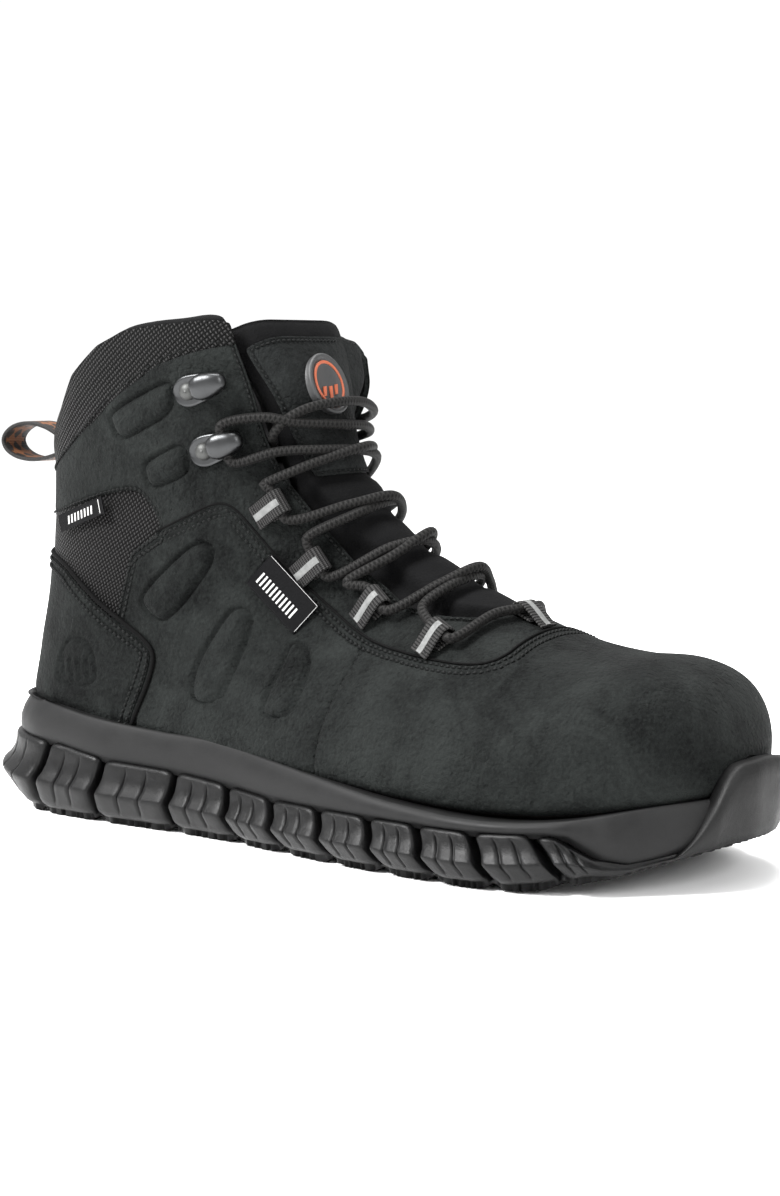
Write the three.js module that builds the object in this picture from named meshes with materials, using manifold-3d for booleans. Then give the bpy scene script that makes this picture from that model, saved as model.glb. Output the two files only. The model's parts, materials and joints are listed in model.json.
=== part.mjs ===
// Steel toe work boot for the right foot, laced up and standing on the ground.
// Millimetres. +X points to the toe, +Y to the inner side of the foot, +Z up.
// The origin lies on the ground under the middle of the heel.
import * as THREE from 'three';
import { mergeVertices } from 'three/addons/utils/BufferGeometryUtils.js';
import Module from 'manifold-3d';

const wasm = await Module();
wasm.setup();

// ---------------------------------------------------------------- driving dimensions

const GAP = 0.3;               // clearance between pieces that touch
const LEATHER = 2.0;           // thickness of the nubuck panels and the ballistic nylon
const STEEL_CAP = 1.8;         // wall of the safety toe
const COUNTER = 1.6;           // wall of the heel counter
const LINING_OUT = 5.0;        // depth of the waterproof bootie's two faces in the sections
const LINING_IN = 8.0;
const COLLAR_PAD_IN = 11.0;    // depth of the padded collar
const TONGUE_IN = 8.0;         // depth of the padded tongue
const FOOTBED = 5.0;           // thickness of the loose footbed
const LACE_RADIUS = 2.1;
const LACE_LIFT = 4.2;         // height of the lace centre line over the leather in a loop
const HALF_TURN = Math.PI;

// Sections of the closed upper, from the collar down the ankle and along to the toe.
// front x, z   back x, z   outer half width, inner half width   share of the section ahead
// of its widest place   roundness of its front and back   sideways shift of front and back
const SECTIONS = [
  [79, 198, -36, 198, 41, 39, 0.52, 2.9, 2.2, 0, 0],
  [84, 180, -37, 180, 41, 39, 0.52, 2.9, 2.2, 0, 0],
  [91, 163, -36, 158, 39, 37, 0.52, 2.5, 2.2, 0, 0],
  [96, 147, -34, 135, 37, 35, 0.53, 2.2, 2.2, 0, 0],
  [101, 134, -35, 110, 35.5, 34.5, 0.56, 2.2, 2.2, 0, 0],
  [108, 124, -38, 84, 35, 34.5, 0.60, 2.2, 2.3, 0, 0],
  [116, 115, -41, 58, 35, 34.5, 0.66, 2.1, 2.5, 0, 0],
  [126, 107, -38, 34, 36, 35.5, 0.74, 2.0, 3.2, 1, 0],
  [137, 100, -10, 25, 37, 36, 0.80, 2.0, 4.0, 3, -1],
  [149, 93, 40, 24, 41, 37, 0.82, 2.0, 5.0, 5, -2],
  [162, 87, 90, 23, 46, 40, 0.80, 2.0, 5.0, 6, -2],
  [176, 81, 140, 21, 50, 47, 0.76, 2.1, 5.0, 6, 0],
  [192, 75, 178, 19, 51, 51, 0.72, 2.2, 5.0, 6, 1],
  [209, 72, 206, 20, 49, 52, 0.68, 2.4, 5.0, 6, 2],
  [226, 70, 226, 22, 44, 49, 0.62, 2.6, 5.0, 6, 3],
  [240, 66, 241, 24, 36, 42, 0.56, 2.7, 5.0, 6, 4],
  [250, 58, 250, 27, 25, 31, 0.55, 2.6, 4.0, 6, 5],
  [256, 48, 256, 30, 13, 17, 0.50, 2.4, 3.0, 6, 6],
];
const ROWS = [0, 1, 2, 3, 4, 5, 6, 7, 7.5, 8, 9, 10, 11, 12, 13, 14, 15, 16, 17];
const AROUND = 22;             // facets round one section

// Half angle of the lacing opening at each section, in radians from the front ridge.
const THROAT = [[0, 0.86], [2, 0.8], [3, 0.76], [4, 0.68], [5, 0.58], [6.5, 0.49], [8, 0.48],
  [9.3, 0.52], [10.1, 0.47], [10.6, 0.3], [10.8, 0.1]];

// Ground outline of the sole: x, outer half width, inner half width.
const SOLE_PLAN = [[-45, 3, 3], [-43.5, 12, 12], [-40, 21, 21], [-34, 29, 29], [-25, 35, 35],
  [0, 40, 40], [40, 41, 40], [70, 43, 40], [100, 48, 41], [130, 53, 45], [160, 56, 53],
  [185, 57, 58], [205, 54, 59], [222, 47, 55], [236, 37, 47], [247, 25, 37], [254, 12, 26],
  [258, 0, 15]];
const BAND_TOP = [[-45, 44], [-20, 43], [13, 39], [40, 37], [68, 36], [94, 33], [124, 29],
  [151, 25.5], [224, 25.5], [241, 29], [258, 31]];
const POD_TOP = [[-45, 30], [-12, 28], [17, 24], [50, 23], [77, 21], [101, 19], [190, 19],
  [212, 20], [228, 20], [258, 20]];
const TREAD = [[-45, 6], [-30, 1.5], [-24, 0], [196, 0], [215, 2.5], [235, 7.5], [258, 15]];
const POD_GAPS = [-12, 17.5, 52, 77.5, 101, 125, 148, 169.5, 192, 214];
const GAP_WIDTH = 3.0;         // width of the gaps between the pods
const LUG = 3.5;               // depth of the tread grooves
const POD_BULGE = 3.5;         // how far the pods stand out past the ground outline

// ---------------------------------------------------------------- curves and surfaces

// Smooth value at x of a curve through rows of [x, value, ...].
function follow(rows, x, column = 1) {
  const last = rows.length - 1;
  let i = 0;
  while (i < last - 1 && x > rows[i + 1][0]) i += 1;
  const slope = (k) => (rows[k + 1][column] - rows[k][column]) / (rows[k + 1][0] - rows[k][0]);
  const width = (k) => rows[k + 1][0] - rows[k][0];
  const tangent = (k) => {
    if (k === 0) return slope(0);
    if (k === last) return slope(last - 1);
    return (width(k - 1) * slope(k) + width(k) * slope(k - 1)) / (width(k - 1) + width(k));
  };
  const w = width(i);
  const t = (x - rows[i][0]) / w;
  const t2 = t * t;
  const t3 = t2 * t;
  return (2 * t3 - 3 * t2 + 1) * rows[i][column] + (t3 - 2 * t2 + t) * w * tangent(i)
    + (3 * t2 - 2 * t3) * rows[i + 1][column] + (t3 - t2) * w * tangent(i + 1);
}

const NUMBERED = SECTIONS.map((row, index) => [index, ...row]);
const section = (s) => SECTIONS[0].map((_, column) => follow(NUMBERED, s, column + 1));

// Point of the upper at section s and angle a: 0 on the front ridge, positive on the outer
// side, half a turn at the back or the bottom. inset shrinks the section in its own plane.
function onUpper(s, a, inset = 0) {
  const [fx, fz, bx, bz, wOut, wIn, ahead, pFront, pBack, yFront, yBack] = section(s);
  const length = Math.hypot(fx - bx, fz - bz);
  const cut = inset / length;
  const power = 2 / (Math.cos(a) >= 0 ? pFront : pBack);
  const c = Math.sign(Math.cos(a)) * Math.abs(Math.cos(a)) ** power;
  const side = Math.sign(Math.sin(a)) * Math.abs(Math.sin(a)) ** power;
  const share = c >= 0 ? ahead - (ahead - cut) * c : ahead - (1 - cut - ahead) * c;
  const halfWidth = (side >= 0 ? wOut : wIn) - inset;
  return new THREE.Vector3(
    fx + (bx - fx) * share,
    yFront + (yBack - yFront) * share - side * halfWidth,
    fz + (bz - fz) * share,
  );
}

function normalAt(s, a) {
  const ds = 0.05;
  const da = 0.03;
  const top = SECTIONS.length - 1;
  const along = onUpper(Math.min(s + ds, top), a).sub(onUpper(Math.max(s - ds, 0), a));
  const round = onUpper(s, a + da).sub(onUpper(s, a - da));
  return round.cross(along).normalize();
}

// The same point moved out along the surface normal.
const offUpper = (s, a, out) => onUpper(s, a).addScaledVector(normalAt(s, a), out);

const throatEdge = (s) => follow(THROAT, s);

// ---------------------------------------------------------------- solids

function meshSolid(geometry) {
  const plain = geometry.clone();
  plain.deleteAttribute('normal');
  plain.deleteAttribute('uv');
  const merged = mergeVertices(plain, 1e-4);
  const triVerts = [];
  const index = merged.index.array;
  for (let i = 0; i < index.length; i += 3) {
    const [a, b, c] = [index[i], index[i + 1], index[i + 2]];
    if (a !== b && b !== c && c !== a) triVerts.push(a, b, c);
  }
  return new wasm.Manifold(new wasm.Mesh({
    numProp: 3,
    vertProperties: new Float32Array(merged.attributes.position.array),
    triVerts: new Uint32Array(triVerts),
  }));
}

function solidGeometry(solid) {
  const mesh = solid.getMesh();
  const geometry = new THREE.BufferGeometry();
  geometry.setAttribute('position', new THREE.BufferAttribute(mesh.vertProperties, 3));
  geometry.setIndex(new THREE.BufferAttribute(mesh.triVerts, 1));
  geometry.computeVertexNormals();
  return geometry;
}

// Largest of the separate bodies that a cut leaves.
function mainBody(solid) {
  const bodies = solid.decompose();
  return bodies.reduce((best, body) => (body.volume() > best.volume() ? body : best));
}

// Closed skin over rings of points. The ends are closed with fans, or with strips across the
// ring where it runs out along one side and back along the other.
function loft(rings, strips = false) {
  const points = rings.flat();
  const n = rings[0].length;
  const faces = [];
  for (let r = 0; r + 1 < rings.length; r += 1) {
    for (let k = 0; k < n; k += 1) {
      const a = r * n + k;
      const b = r * n + ((k + 1) % n);
      faces.push(a, b, b + n, a, b + n, a + n);
    }
  }
  const end = (rings.length - 1) * n;
  if (strips) {
    for (let k = 0; k + 1 < n / 2; k += 1) {
      const [a, b, c, d] = [k, k + 1, n - 2 - k, n - 1 - k];
      faces.push(b, a, d, b, d, c);
      faces.push(end + a, end + b, end + d, end + d, end + b, end + c);
    }
  } else {
    const centre = (ring) => ring.reduce((sum, p) => sum.add(p), new THREE.Vector3())
      .divideScalar(n);
    const first = points.push(centre(rings[0])) - 1;
    const last = points.push(centre(rings.at(-1))) - 1;
    for (let k = 0; k < n; k += 1) {
      const next = (k + 1) % n;
      faces.push(first, next, k, last, end + k, end + next);
    }
  }
  const geometry = new THREE.BufferGeometry().setFromPoints(points);
  geometry.setIndex(faces);
  return facingOut(geometry);
}

function facingOut(geometry) {
  const p = geometry.attributes.position;
  const index = geometry.index.array;
  const [a, b, c] = [new THREE.Vector3(), new THREE.Vector3(), new THREE.Vector3()];
  let volume = 0;
  for (let i = 0; i < index.length; i += 3) {
    a.fromBufferAttribute(p, index[i]);
    b.fromBufferAttribute(p, index[i + 1]);
    c.fromBufferAttribute(p, index[i + 2]);
    volume += a.dot(b.cross(c));
  }
  if (volume < 0) geometry.setIndex(Array.from(index).reverse());
  return geometry;
}

// The whole upper as one closed body, at a depth given along the normal or in the section.
function upperBody(point, rows = ROWS) {
  const angles = Array.from({ length: AROUND }, (_, k) => (2 * HALF_TURN * k) / AROUND);
  return meshSolid(loft(rows.map((s) => angles.map((a) => point(s, a)))));
}
const outOf = (depth) => (s, a) => offUpper(s, a, depth);
const insetOf = (depth) => (s, a) => onUpper(s, a, depth);

// Slab between two surfaces over rows of s and, in each row, angles from and to.
function slab(rows, shares, from, to, outer, inner) {
  const angle = (s, share) => from(s) + (to(s) - from(s)) * share;
  const ring = (s) => [
    ...shares.map((share) => outer(s, angle(s, share), share)),
    ...[...shares].reverse().map((share) => inner(s, angle(s, share), share)),
  ];
  return loft(rows.map(ring), true);
}
const shares = (count) => Array.from({ length: count + 1 }, (_, k) => k / count);

// Outline in side view (x, z), pushed across the boot between two y values.
function sideCut(points, yFrom = -90, yTo = 90) {
  const shape = new THREE.Shape(points.map(([x, z]) => new THREE.Vector2(x, z)));
  const geometry = new THREE.ExtrudeGeometry(shape, { depth: yTo - yFrom, bevelEnabled: false });
  geometry.rotateX(HALF_TURN / 2);
  geometry.translate(0, yTo, 0);
  return meshSolid(geometry);
}

// Outline in front view (y, z), pushed along the boot between two x values.
function frontCut(points, xFrom, xTo) {
  const shape = new THREE.Shape(points.map(([y, z]) => new THREE.Vector2(y, z)));
  const geometry = new THREE.ExtrudeGeometry(shape, { depth: xTo - xFrom, bevelEnabled: false });
  geometry.rotateZ(HALF_TURN / 2);
  geometry.rotateY(HALF_TURN / 2);
  geometry.translate(xFrom, 0, 0);
  return meshSolid(geometry);
}

function box(x, y, z) {
  const geometry = new THREE.BoxGeometry(x[1] - x[0], y[1] - y[0], z[1] - z[0]);
  geometry.translate((x[0] + x[1]) / 2, (y[0] + y[1]) / 2, (z[0] + z[1]) / 2);
  return meshSolid(geometry);
}

// Outline grown outwards by a distance, corner by corner.
function grow(points, distance) {
  const v = points.map(([x, z]) => new THREE.Vector2(x, z));
  const turn = THREE.ShapeUtils.isClockWise(v) ? 1 : -1;
  const side = (a, b) => {
    const d = b.clone().sub(a).normalize();
    return new THREE.Vector2(-d.y * turn, d.x * turn);
  };
  return v.map((p, i) => {
    const before = side(v.at(i - 1), p);
    const after = side(p, v[(i + 1) % v.length]);
    const mid = before.clone().add(after).normalize();
    const reach = distance / Math.max(mid.dot(after), 0.5);
    return [p.x + mid.x * reach, p.y + mid.y * reach];
  });
}

// Frame on the leather: origin at the middle of two (s, a) places, local X from the first
// to the second, local Z out of the surface.
function frameOn([s0, a0], [s1, a1]) {
  const from = onUpper(s0, a0);
  const to = onUpper(s1, a1);
  const out = normalAt((s0 + s1) / 2, (a0 + a1) / 2);
  const along = to.clone().sub(from);
  along.addScaledVector(out, -along.dot(out)).normalize();
  const across = out.clone().cross(along);
  const middle = onUpper((s0 + s1) / 2, (a0 + a1) / 2);
  return new THREE.Matrix4().makeBasis(along, across, out).setPosition(middle);
}

// Profile in (x, z) pushed along local Y by a width, centred.
function profileBody(points, width, holes = []) {
  const shape = new THREE.Shape(points.map(([x, z]) => new THREE.Vector2(x, z)));
  holes.forEach((hole) => shape.holes.push(hole));
  const geometry = new THREE.ExtrudeGeometry(shape, { depth: width, bevelEnabled: false,
    curveSegments: 5 });
  geometry.rotateX(HALF_TURN / 2);
  geometry.translate(0, width / 2, 0);
  return geometry;
}

// ---------------------------------------------------------------- scene graph

const boot = new THREE.Group();
const finish = {
  nubuck: [0x2b2d2b, 0.85, 0],
  nylon: [0x2a2826, 0.8, 0],
  lining: [0x161616, 0.95, 0],
  rubber: [0x343434, 0.7, 0],
  midsole: [0x3d3b39, 0.65, 0],
  steel: [0x9a9da0, 0.35, 1],
  board: [0x8d7a5a, 0.9, 0],
  foam: [0x4a4c50, 0.95, 0],
  lace: [0x2b2725, 0.8, 0],
  gunmetal: [0x4a4b4c, 0.3, 1],
  webbing: [0x1f1e1d, 0.85, 0],
  badge: [0x3a3b3d, 0.6, 0],
  plastic: [0x1b1b1b, 0.35, 0],
};

function addPiece(name, geometry, look) {
  const [color, roughness, metalness] = finish[look];
  const material = new THREE.MeshStandardMaterial({ color, roughness, metalness });
  const mesh = new THREE.Mesh(geometry, material);
  mesh.name = name;
  boot.add(mesh);
  return mesh;
}
const addSolid = (name, solid, look) => addPiece(name, solidGeometry(mainBody(solid)), look);

// ---------------------------------------------------------------- leather and nylon panels

const CENTRE_Y = 4;            // seam between the two halves ahead of the lacing
const FEATHER = [[-60, 30], [0, 29], [90, 28], [140, 26], [200, 25], [240, 29], [262, 33]];
const RIM = [[-60, 139], [-36, 139.5], [-16, 142], [-11, 150], [0, 162], [16, 174], [28, 180],
  [39, 183], [52, 184.5], [62, 185.5], [69, 184.5], [76, 181]];
const COLLAR_SEAM = [[-60, 126], [-36, 128], [-19, 135], [-4, 144], [6, 151], [17, 159],
  [29, 166], [43, 173], [56, 177], [73, 180], [90, 181]];
const FOXING = [[-60, 100], [-36, 98], [-15, 95], [-3, 88], [9, 80], [26, 71], [33, 66],
  [34, 62], [32, 54], [28, 44], [24, 32], [20, 10], [-60, 10]];
const ANKLE_MESH = [[-60, 109], [-36, 110], [-17, 113], [0, 117.5], [15, 121.5], [26, 123],
  [31, 121], [36, 114.5], [38, 110], [31, 105], [24, 101.5], [22, 95], [18, 82], [16, 76],
  [9, 80], [-3, 88], [-15, 95], [-36, 98], [-60, 98]];
const SHAFT_LOW_EDGE = [[-60, 109], [16, 90], [24, 101.5], [33, 107], [47, 113], [59, 118.5],
  [65, 120], [70, 117.5], [76, 111], [84, 102], [92, 94], [106, 84], [119, 77], [131, 73.5],
  [154, 71], [175, 70], [189, 71], [192, 74], [192, 90]];
const SHAFT = [...SHAFT_LOW_EDGE, [192, 220], [-60, 220]];
const VAMP_SEAM_X = 118;

const outerSkin = upperBody(outOf(0)).subtract(upperBody(outOf(-LEATHER)));

function throatCutter(extra, outer, inner, endRow) {
  const rows = [0, 1, 2, 3, 4, 5, 6, 7, 8, 9, 9.6, 10.1, 10.5, endRow];
  const half = (s) => throatEdge(s) + extra;
  const body = slab(rows, shares(8), (s) => -half(s), half,
    (s, a) => offUpper(s, a, outer), (s, a) => onUpper(s, a, inner));
  return meshSolid(body);
}

function upperPanels() {
  const keep = sideCut([...FEATHER, [262, 220], [80, 220], ...[...RIM].reverse()]);
  let rest = outerSkin.intersect(keep).subtract(throatCutter(0, 8, 14, 10.8));
  const take = (outline, yFrom = -90, yTo = 90) => {
    const piece = rest.intersect(sideCut(outline, yFrom, yTo));
    rest = rest.subtract(sideCut(grow(outline, GAP), yFrom, yTo));
    return piece;
  };
  const half = (solid, side) => (side < 0
    ? solid.intersect(box([-60, 270], [-90, CENTRE_Y - GAP / 2], [0, 220]))
    : solid.intersect(box([-60, 270], [CENTRE_Y + GAP / 2, 90], [0, 220])));

  const backstayBox = (extra) => box([-60, 0], [-8 - extra, 8 + extra], [98 - extra, 128 + extra]);
  addSolid('collar_shell', take([...COLLAR_SEAM, [90, 220], [-60, 220]]), 'nylon');
  const backstay = rest.intersect(backstayBox(-GAP));
  addSolid('backstay', backstay, 'webbing');
  rest = rest.subtract(backstayBox(0));
  addSolid('heel_foxing', take(FOXING), 'nubuck');
  const mesh = take(ANKLE_MESH);
  addSolid('ankle_mesh_lateral', half(mesh, -1), 'nylon');
  addSolid('ankle_mesh_medial', half(mesh, 1), 'nylon');
  const shaft = take(SHAFT);
  addSolid('shaft_lateral', half(shaft, -1), 'nubuck');
  addSolid('shaft_medial', half(shaft, 1), 'nubuck');
  const quarter = take([[-60, 10], [VAMP_SEAM_X, 10], [VAMP_SEAM_X, 120], [-60, 120]]);
  addSolid('quarter_lateral', half(quarter, -1), 'nubuck');
  addSolid('quarter_medial', half(quarter, 1), 'nubuck');
  addSolid('vamp', rest, 'nubuck');
}

// ---------------------------------------------------------------- inside the upper

const PAD_LOW_EDGE = [[-60, 114], [-36, 116], [10, 126], [60, 138], [120, 150]];

// Shell that lies against the inside of the leather.
function underLeather(thickness) {
  const outer = -LEATHER - GAP;
  return upperBody(outOf(outer)).subtract(upperBody(outOf(outer - thickness)));
}

function steelToeCap() {
  const wall = underLeather(STEEL_CAP);
  const reach = [[216, 27], [262, 34], [262, 90], [216, 90]];
  addSolid('steel_toe_cap', wall.intersect(sideCut(reach)), 'steel');
  const strip = [[211, 27], [215.6, 27], [215.6, 90], [211, 90]];
  addSolid('toe_cap_edge_strip', wall.intersect(sideCut(strip)), 'foam');
}

function heelCounter() {
  const wall = underLeather(COUNTER);
  const reach = [[-60, 86], [-12, 85], [18, 62], [40, 42], [42, 36], [-60, 36]];
  addSolid('heel_counter', wall.intersect(sideCut(reach)), 'plastic');
}

// Face of the bootie; it draws in ahead of section 13, inside the steel cap.
function liningFace(depth) {
  return (s, a) => onUpper(s, a, depth + Math.max(0, s - 13) * 1.5);
}

function bootieAndCollarPad() {
  const rows = ROWS.filter((s) => s <= 14);
  const outer = upperBody(liningFace(LINING_OUT), [...rows, 14.5]);
  const inner = upperBody(liningFace(LINING_IN), [...rows, 14.2]);
  const below = sideCut([...PAD_LOW_EDGE.map(([x, z]) => [x, z - GAP]), [260, 150], [260, 0],
    [-60, 0]]);
  const throat = throatCutter(0.27, 8, 20, 10.9);
  const bootie = outer.subtract(inner).intersect(below).subtract(throat);
  addSolid('lining_bootie', bootie, 'lining');

  const padWall = upperBody(outOf(-LEATHER - GAP)).subtract(upperBody(insetOf(COLLAR_PAD_IN)));
  const above = sideCut([...PAD_LOW_EDGE, [120, 181], ...[...RIM].reverse()]);
  const lapels = throatCutter(0.45, 8, 20, 10.9);
  addSolid('collar_pad', padWall.intersect(above).subtract(lapels), 'foam');
}

// Slab along the bottom of the upper, on the same facets as the upper itself.
// margin is the number of facets left free on each side of the front ridge.
function bottomSlab(margin, outer, inner) {
  const from = (2 * HALF_TURN * margin) / AROUND;
  const rows = ROWS.filter((s) => s >= 7.5 && s <= 14);
  const across = shares(AROUND - 2 * margin);
  return slab(rows, across, () => from, () => 2 * HALF_TURN - from, outer, inner);
}

function insoleAndFootbed() {
  const board = meshSolid(bottomSlab(7, outOf(-GAP), outOf(-LEATHER)));
  const below = FEATHER.map(([x, z]) => [x, z - GAP]);
  addSolid('insole_board', board.intersect(sideCut([...below, [262, 0], [-60, 0]])), 'board');
  const sole = liningFace(LINING_IN + GAP);
  const raised = (s, a) => sole(s, a).add(new THREE.Vector3(0, 0, FOOTBED));
  addPiece('footbed', bottomSlab(8, sole, raised), 'foam');
}

// ---------------------------------------------------------------- tongue

// Half angle of the padded tongue, pinched where the lace tucks in.
const TONGUE_HALF = [[0, 1.0], [1.5, 0.95], [2.3, 0.62], [3, 0.57], [4.4, 0.54], [5, 0.66],
  [6.5, 0.62], [9.3, 0.64], [10.4, 0.5]];
const LEATHER_END = 3.6;       // section where the tongue's leather patch stops
const PATCH_HALF = [[0, 0.74], [1.5, 0.71], [2.3, 0.6], [3, 0.55], [3.6, 0.5]];
const WING_DEPTH = 3.9;        // depth of the tongue where it runs on under the lacing edges
const OPEN_SHARE = 0.13;       // free angle between the tongue's raised face and the edge

function tonguePad() {
  const face = (s, a) => {
    const raised = s > LEATHER_END + 0.1 && Math.abs(a) < throatEdge(s) - OPEN_SHARE;
    return offUpper(s, a, raised ? -GAP : -WING_DEPTH);
  };
  const back = (s, a) => onUpper(s, a, TONGUE_IN);
  const columns = (s) => {
    const outer = follow(TONGUE_HALF, s);
    const open = Math.min(throatEdge(s) - OPEN_SHARE, outer - 0.08);
    return [-outer, -open - 0.05, -open + 0.01, -open / 2, 0, open / 2, open - 0.01, open + 0.05,
      outer];
  };
  const rows = [0.72, 1.5, 2.3, 3, LEATHER_END, 3.75, 4.4, 5, 5.7, 6.5, 7.3, 8, 8.8, 9.5, 10, 10.4];
  const ring = (s) => {
    const angles = columns(s);
    return [...angles.map((a) => face(s, a)), ...[...angles].reverse().map((a) => back(s, a))];
  };
  addPiece('tongue_pad', loft(rows.map(ring), true), 'foam');
}

function tongueTrim() {
  const patchHalf = (s) => follow(PATCH_HALF, s);
  const patchRows = [0.92, 1.5, 2.3, 3, LEATHER_END];
  addPiece('tongue_leather', slab(patchRows, shares(8), (s) => -patchHalf(s), patchHalf,
    outOf(-0.6), outOf(-LEATHER)), 'nubuck');

  const gussetRows = [5, 6, 7, 8, 9, 9.8];
  [['lateral', 1], ['medial', -1]].forEach(([name, side]) => {
    const from = (s) => side * (throatEdge(s) + 0.12);
    const to = (s) => side * (throatEdge(s) + 0.38);
    addPiece(`tongue_gusset_${name}`, slab(gussetRows, shares(2), from, to,
      insetOf(LINING_IN + 1.6), insetOf(LINING_IN + 2.6)), 'lining');
  });

  const badge = new THREE.CylinderGeometry(9, 9, 1, 20);
  badge.rotateX(HALF_TURN / 2);
  badge.scale(1.2, 1, 1);
  badge.translate(0, 0, 0.4);
  badge.applyMatrix4(frameOn([2.6, 0], [1.5, 0]));
  addPiece('tongue_badge', badge, 'badge');
}

// ---------------------------------------------------------------- sole

const soleX = SOLE_PLAN.map((row) => row[0]);

// Ring across the sole at x: heights and sideways offsets are given from bottom to top.
function soleRing(x, levels) {
  const outer = Math.max(follow(SOLE_PLAN, x, 1), 0.5);
  const inner = Math.max(follow(SOLE_PLAN, x, 2), 0.5);
  const shrink = (half, offset) => Math.max(half + offset, 0.4);
  const lateral = levels.map(([z, out]) => new THREE.Vector3(x, -shrink(outer, out), z));
  const medial = levels.map(([z, out]) => new THREE.Vector3(x, shrink(inner, out), z));
  return [...lateral, ...medial.reverse()];
}

// The plan is moved lengthwise too, so that the ends keep the same offset as the sides.
function soleBody(levelsAt, lengthen = 0) {
  const middle = (soleX[0] + soleX.at(-1)) / 2;
  const half = (soleX.at(-1) - soleX[0]) / 2;
  const rings = soleX.map((x) => {
    const ring = soleRing(x, levelsAt(x));
    const stretched = middle + (x - middle) * ((half + lengthen) / half);
    return ring.map((p) => p.setX(stretched));
  });
  return meshSolid(loft(rings, true));
}

const bandTop = (x) => follow(BAND_TOP, x);
const podTop = (x) => follow(POD_TOP, x);
const tread = (x) => Math.max(follow(TREAD, x), 0);
const CORE_INSET = 7;          // the soft midsole core stands this far in from the pods
const CORE_HEIGHT = 11;        // and this high over the tread

// Soft core that fills the middle of the outsole, grown by a clearance.
function soleCore(clearance) {
  const inset = clearance - CORE_INSET;
  const levels = (x) => {
    const low = Math.min(tread(x) + CORE_HEIGHT, podTop(x)) - clearance;
    return [[low, inset], [Math.max(bandTop(x) - 1.5, low + 4), inset]];
  };
  return soleBody(levels, inset);
}

function shankSlab(rows, extra, outer, inner) {
  const half = 0.42 + extra;
  return slab(rows, shares(4), () => HALF_TURN - half, () => HALF_TURN + half,
    outOf(outer), outOf(inner));
}

function midsole() {
  const levels = (x) => {
    const low = podTop(x) + GAP;
    const high = bandTop(x);
    const at = (share) => low + (high - low) * share;
    return [[low, -1], [at(0.15), 0.3], [at(0.5), 0.8], [at(0.88), 0], [high, -1.4]];
  };
  const cup = upperBody(outOf(GAP));
  const pocket = meshSolid(shankSlab([8.6, 9.5, 10.6], 0.05, 2.7, -2));
  const body = soleBody(levels).add(soleCore(0)).subtract(cup).subtract(pocket);
  addSolid('midsole', body, 'midsole');
  addPiece('shank', shankSlab([8.7, 9.5, 10.5], 0, 2.1, 0.7), 'steel');
}

function podCutter(x) {
  const half = GAP_WIDTH / 2;
  const top = podTop(x) - 2.5;
  const outer = follow(SOLE_PLAN, x, 1) - CORE_INSET + GAP + 0.5;
  const inner = follow(SOLE_PLAN, x, 2) - CORE_INSET + GAP + 0.5;
  const groove = box([x - half, x + half], [-80, 80], [-1, LUG + tread(x)]);
  const lateral = box([x - half, x + half], [-80, -outer], [-1, top]);
  const medial = box([x - half, x + half], [inner, 80], [-1, top]);
  return groove.add(lateral).add(medial);
}

function outsole() {
  const levels = (x) => {
    const low = tread(x);
    const high = podTop(x);
    const at = (share) => low + (high - low) * share;
    return [[low, -5], [at(0.12), -1.5], [at(0.4), POD_BULGE], [at(0.7), POD_BULGE - 0.8],
      [high, 0.3]];
  };
  let body = soleBody(levels).subtract(soleCore(GAP));
  POD_GAPS.forEach((x) => {
    body = body.subtract(podCutter(x));
  });
  const arch = box([60, 96], [-14, 14], [-1, 2.5]);
  addSolid('outsole', body.subtract(arch), 'rubber');
}

function toeBumper() {
  const flat = (out, low, high) => soleBody(() => [[low, out], [high, out]], out);
  const block = flat(POD_BULGE + 2.4, 13, 46);
  const core = flat(POD_BULGE + 0.4, 0, 31.6);
  const front = [[-25, 12], [-13, 31], [-7, 38], [0, 42], [14, 42], [22, 38], [29, 31], [41, 12]];
  const shield = block.subtract(core).subtract(upperBody(outOf(GAP)));
  addSolid('toe_bumper', shield.intersect(frontCut(front, 230, 275)), 'rubber');
}

// ---------------------------------------------------------------- lacing hardware

// Places of the lace loops as [sewn end, folded end], each (s, a) on the outer side.
const LOOPS = [
  [[5.2, 0.89], [4.65, 0.71]],
  [[6.85, 0.75], [6.45, 0.55]],
  [[8.6, 0.74], [8.15, 0.53]],
  [[10.1, 0.74], [9.8, 0.5]],
];
const TOE_LOOP = [[11.5, 0.12], [10.75, 0.1]];
// Speed hooks as [rivet, throat end].
const HOOKS = { lower: [[3.3, 1.13], [3.1, 0.86]], upper: [[2.1, 1.2], [1.9, 0.93]] };
const mirrored = (ends) => ends.map(([s, a]) => [s, -a]);

const STRAP_LENGTH = 13;
const STRAP_WIDTH = 9;
const EYE_X = 3.2;             // eye centre ahead of the strap's middle
const HOOK_WIDTH = 9;
const HOOK_SEAT = [9.8, 4.4];   // lace centre in a hook: ahead of the rivet, over the leather

function laceLoop(name, ends) {
  const half = STRAP_LENGTH / 2;
  const floor = GAP + 0.2;
  const profile = [[-half, floor], [half - 0.3, floor], [half + 0.2, LACE_LIFT], [half - 0.8, 6.4],
    [EYE_X, LACE_LIFT + 3.5], [0.4, 6.2], [-0.6, 3.6], [-2, 2], [-half, 1.9]];
  const eye = new THREE.Path();
  eye.absarc(EYE_X, LACE_LIFT, LACE_RADIUS + 0.75, 0, 2 * HALF_TURN, true);
  const geometry = profileBody(profile, STRAP_WIDTH, [eye]);
  geometry.applyMatrix4(frameOn(...ends));
  addPiece(name, mergedSolid(geometry), 'webbing');
}
const mergedSolid = (geometry) => solidGeometry(meshSolid(geometry));

function hookFrame([rivet, tip]) {
  const frame = frameOn(rivet, tip);
  return frame.setPosition(onUpper(...rivet));
}

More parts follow.
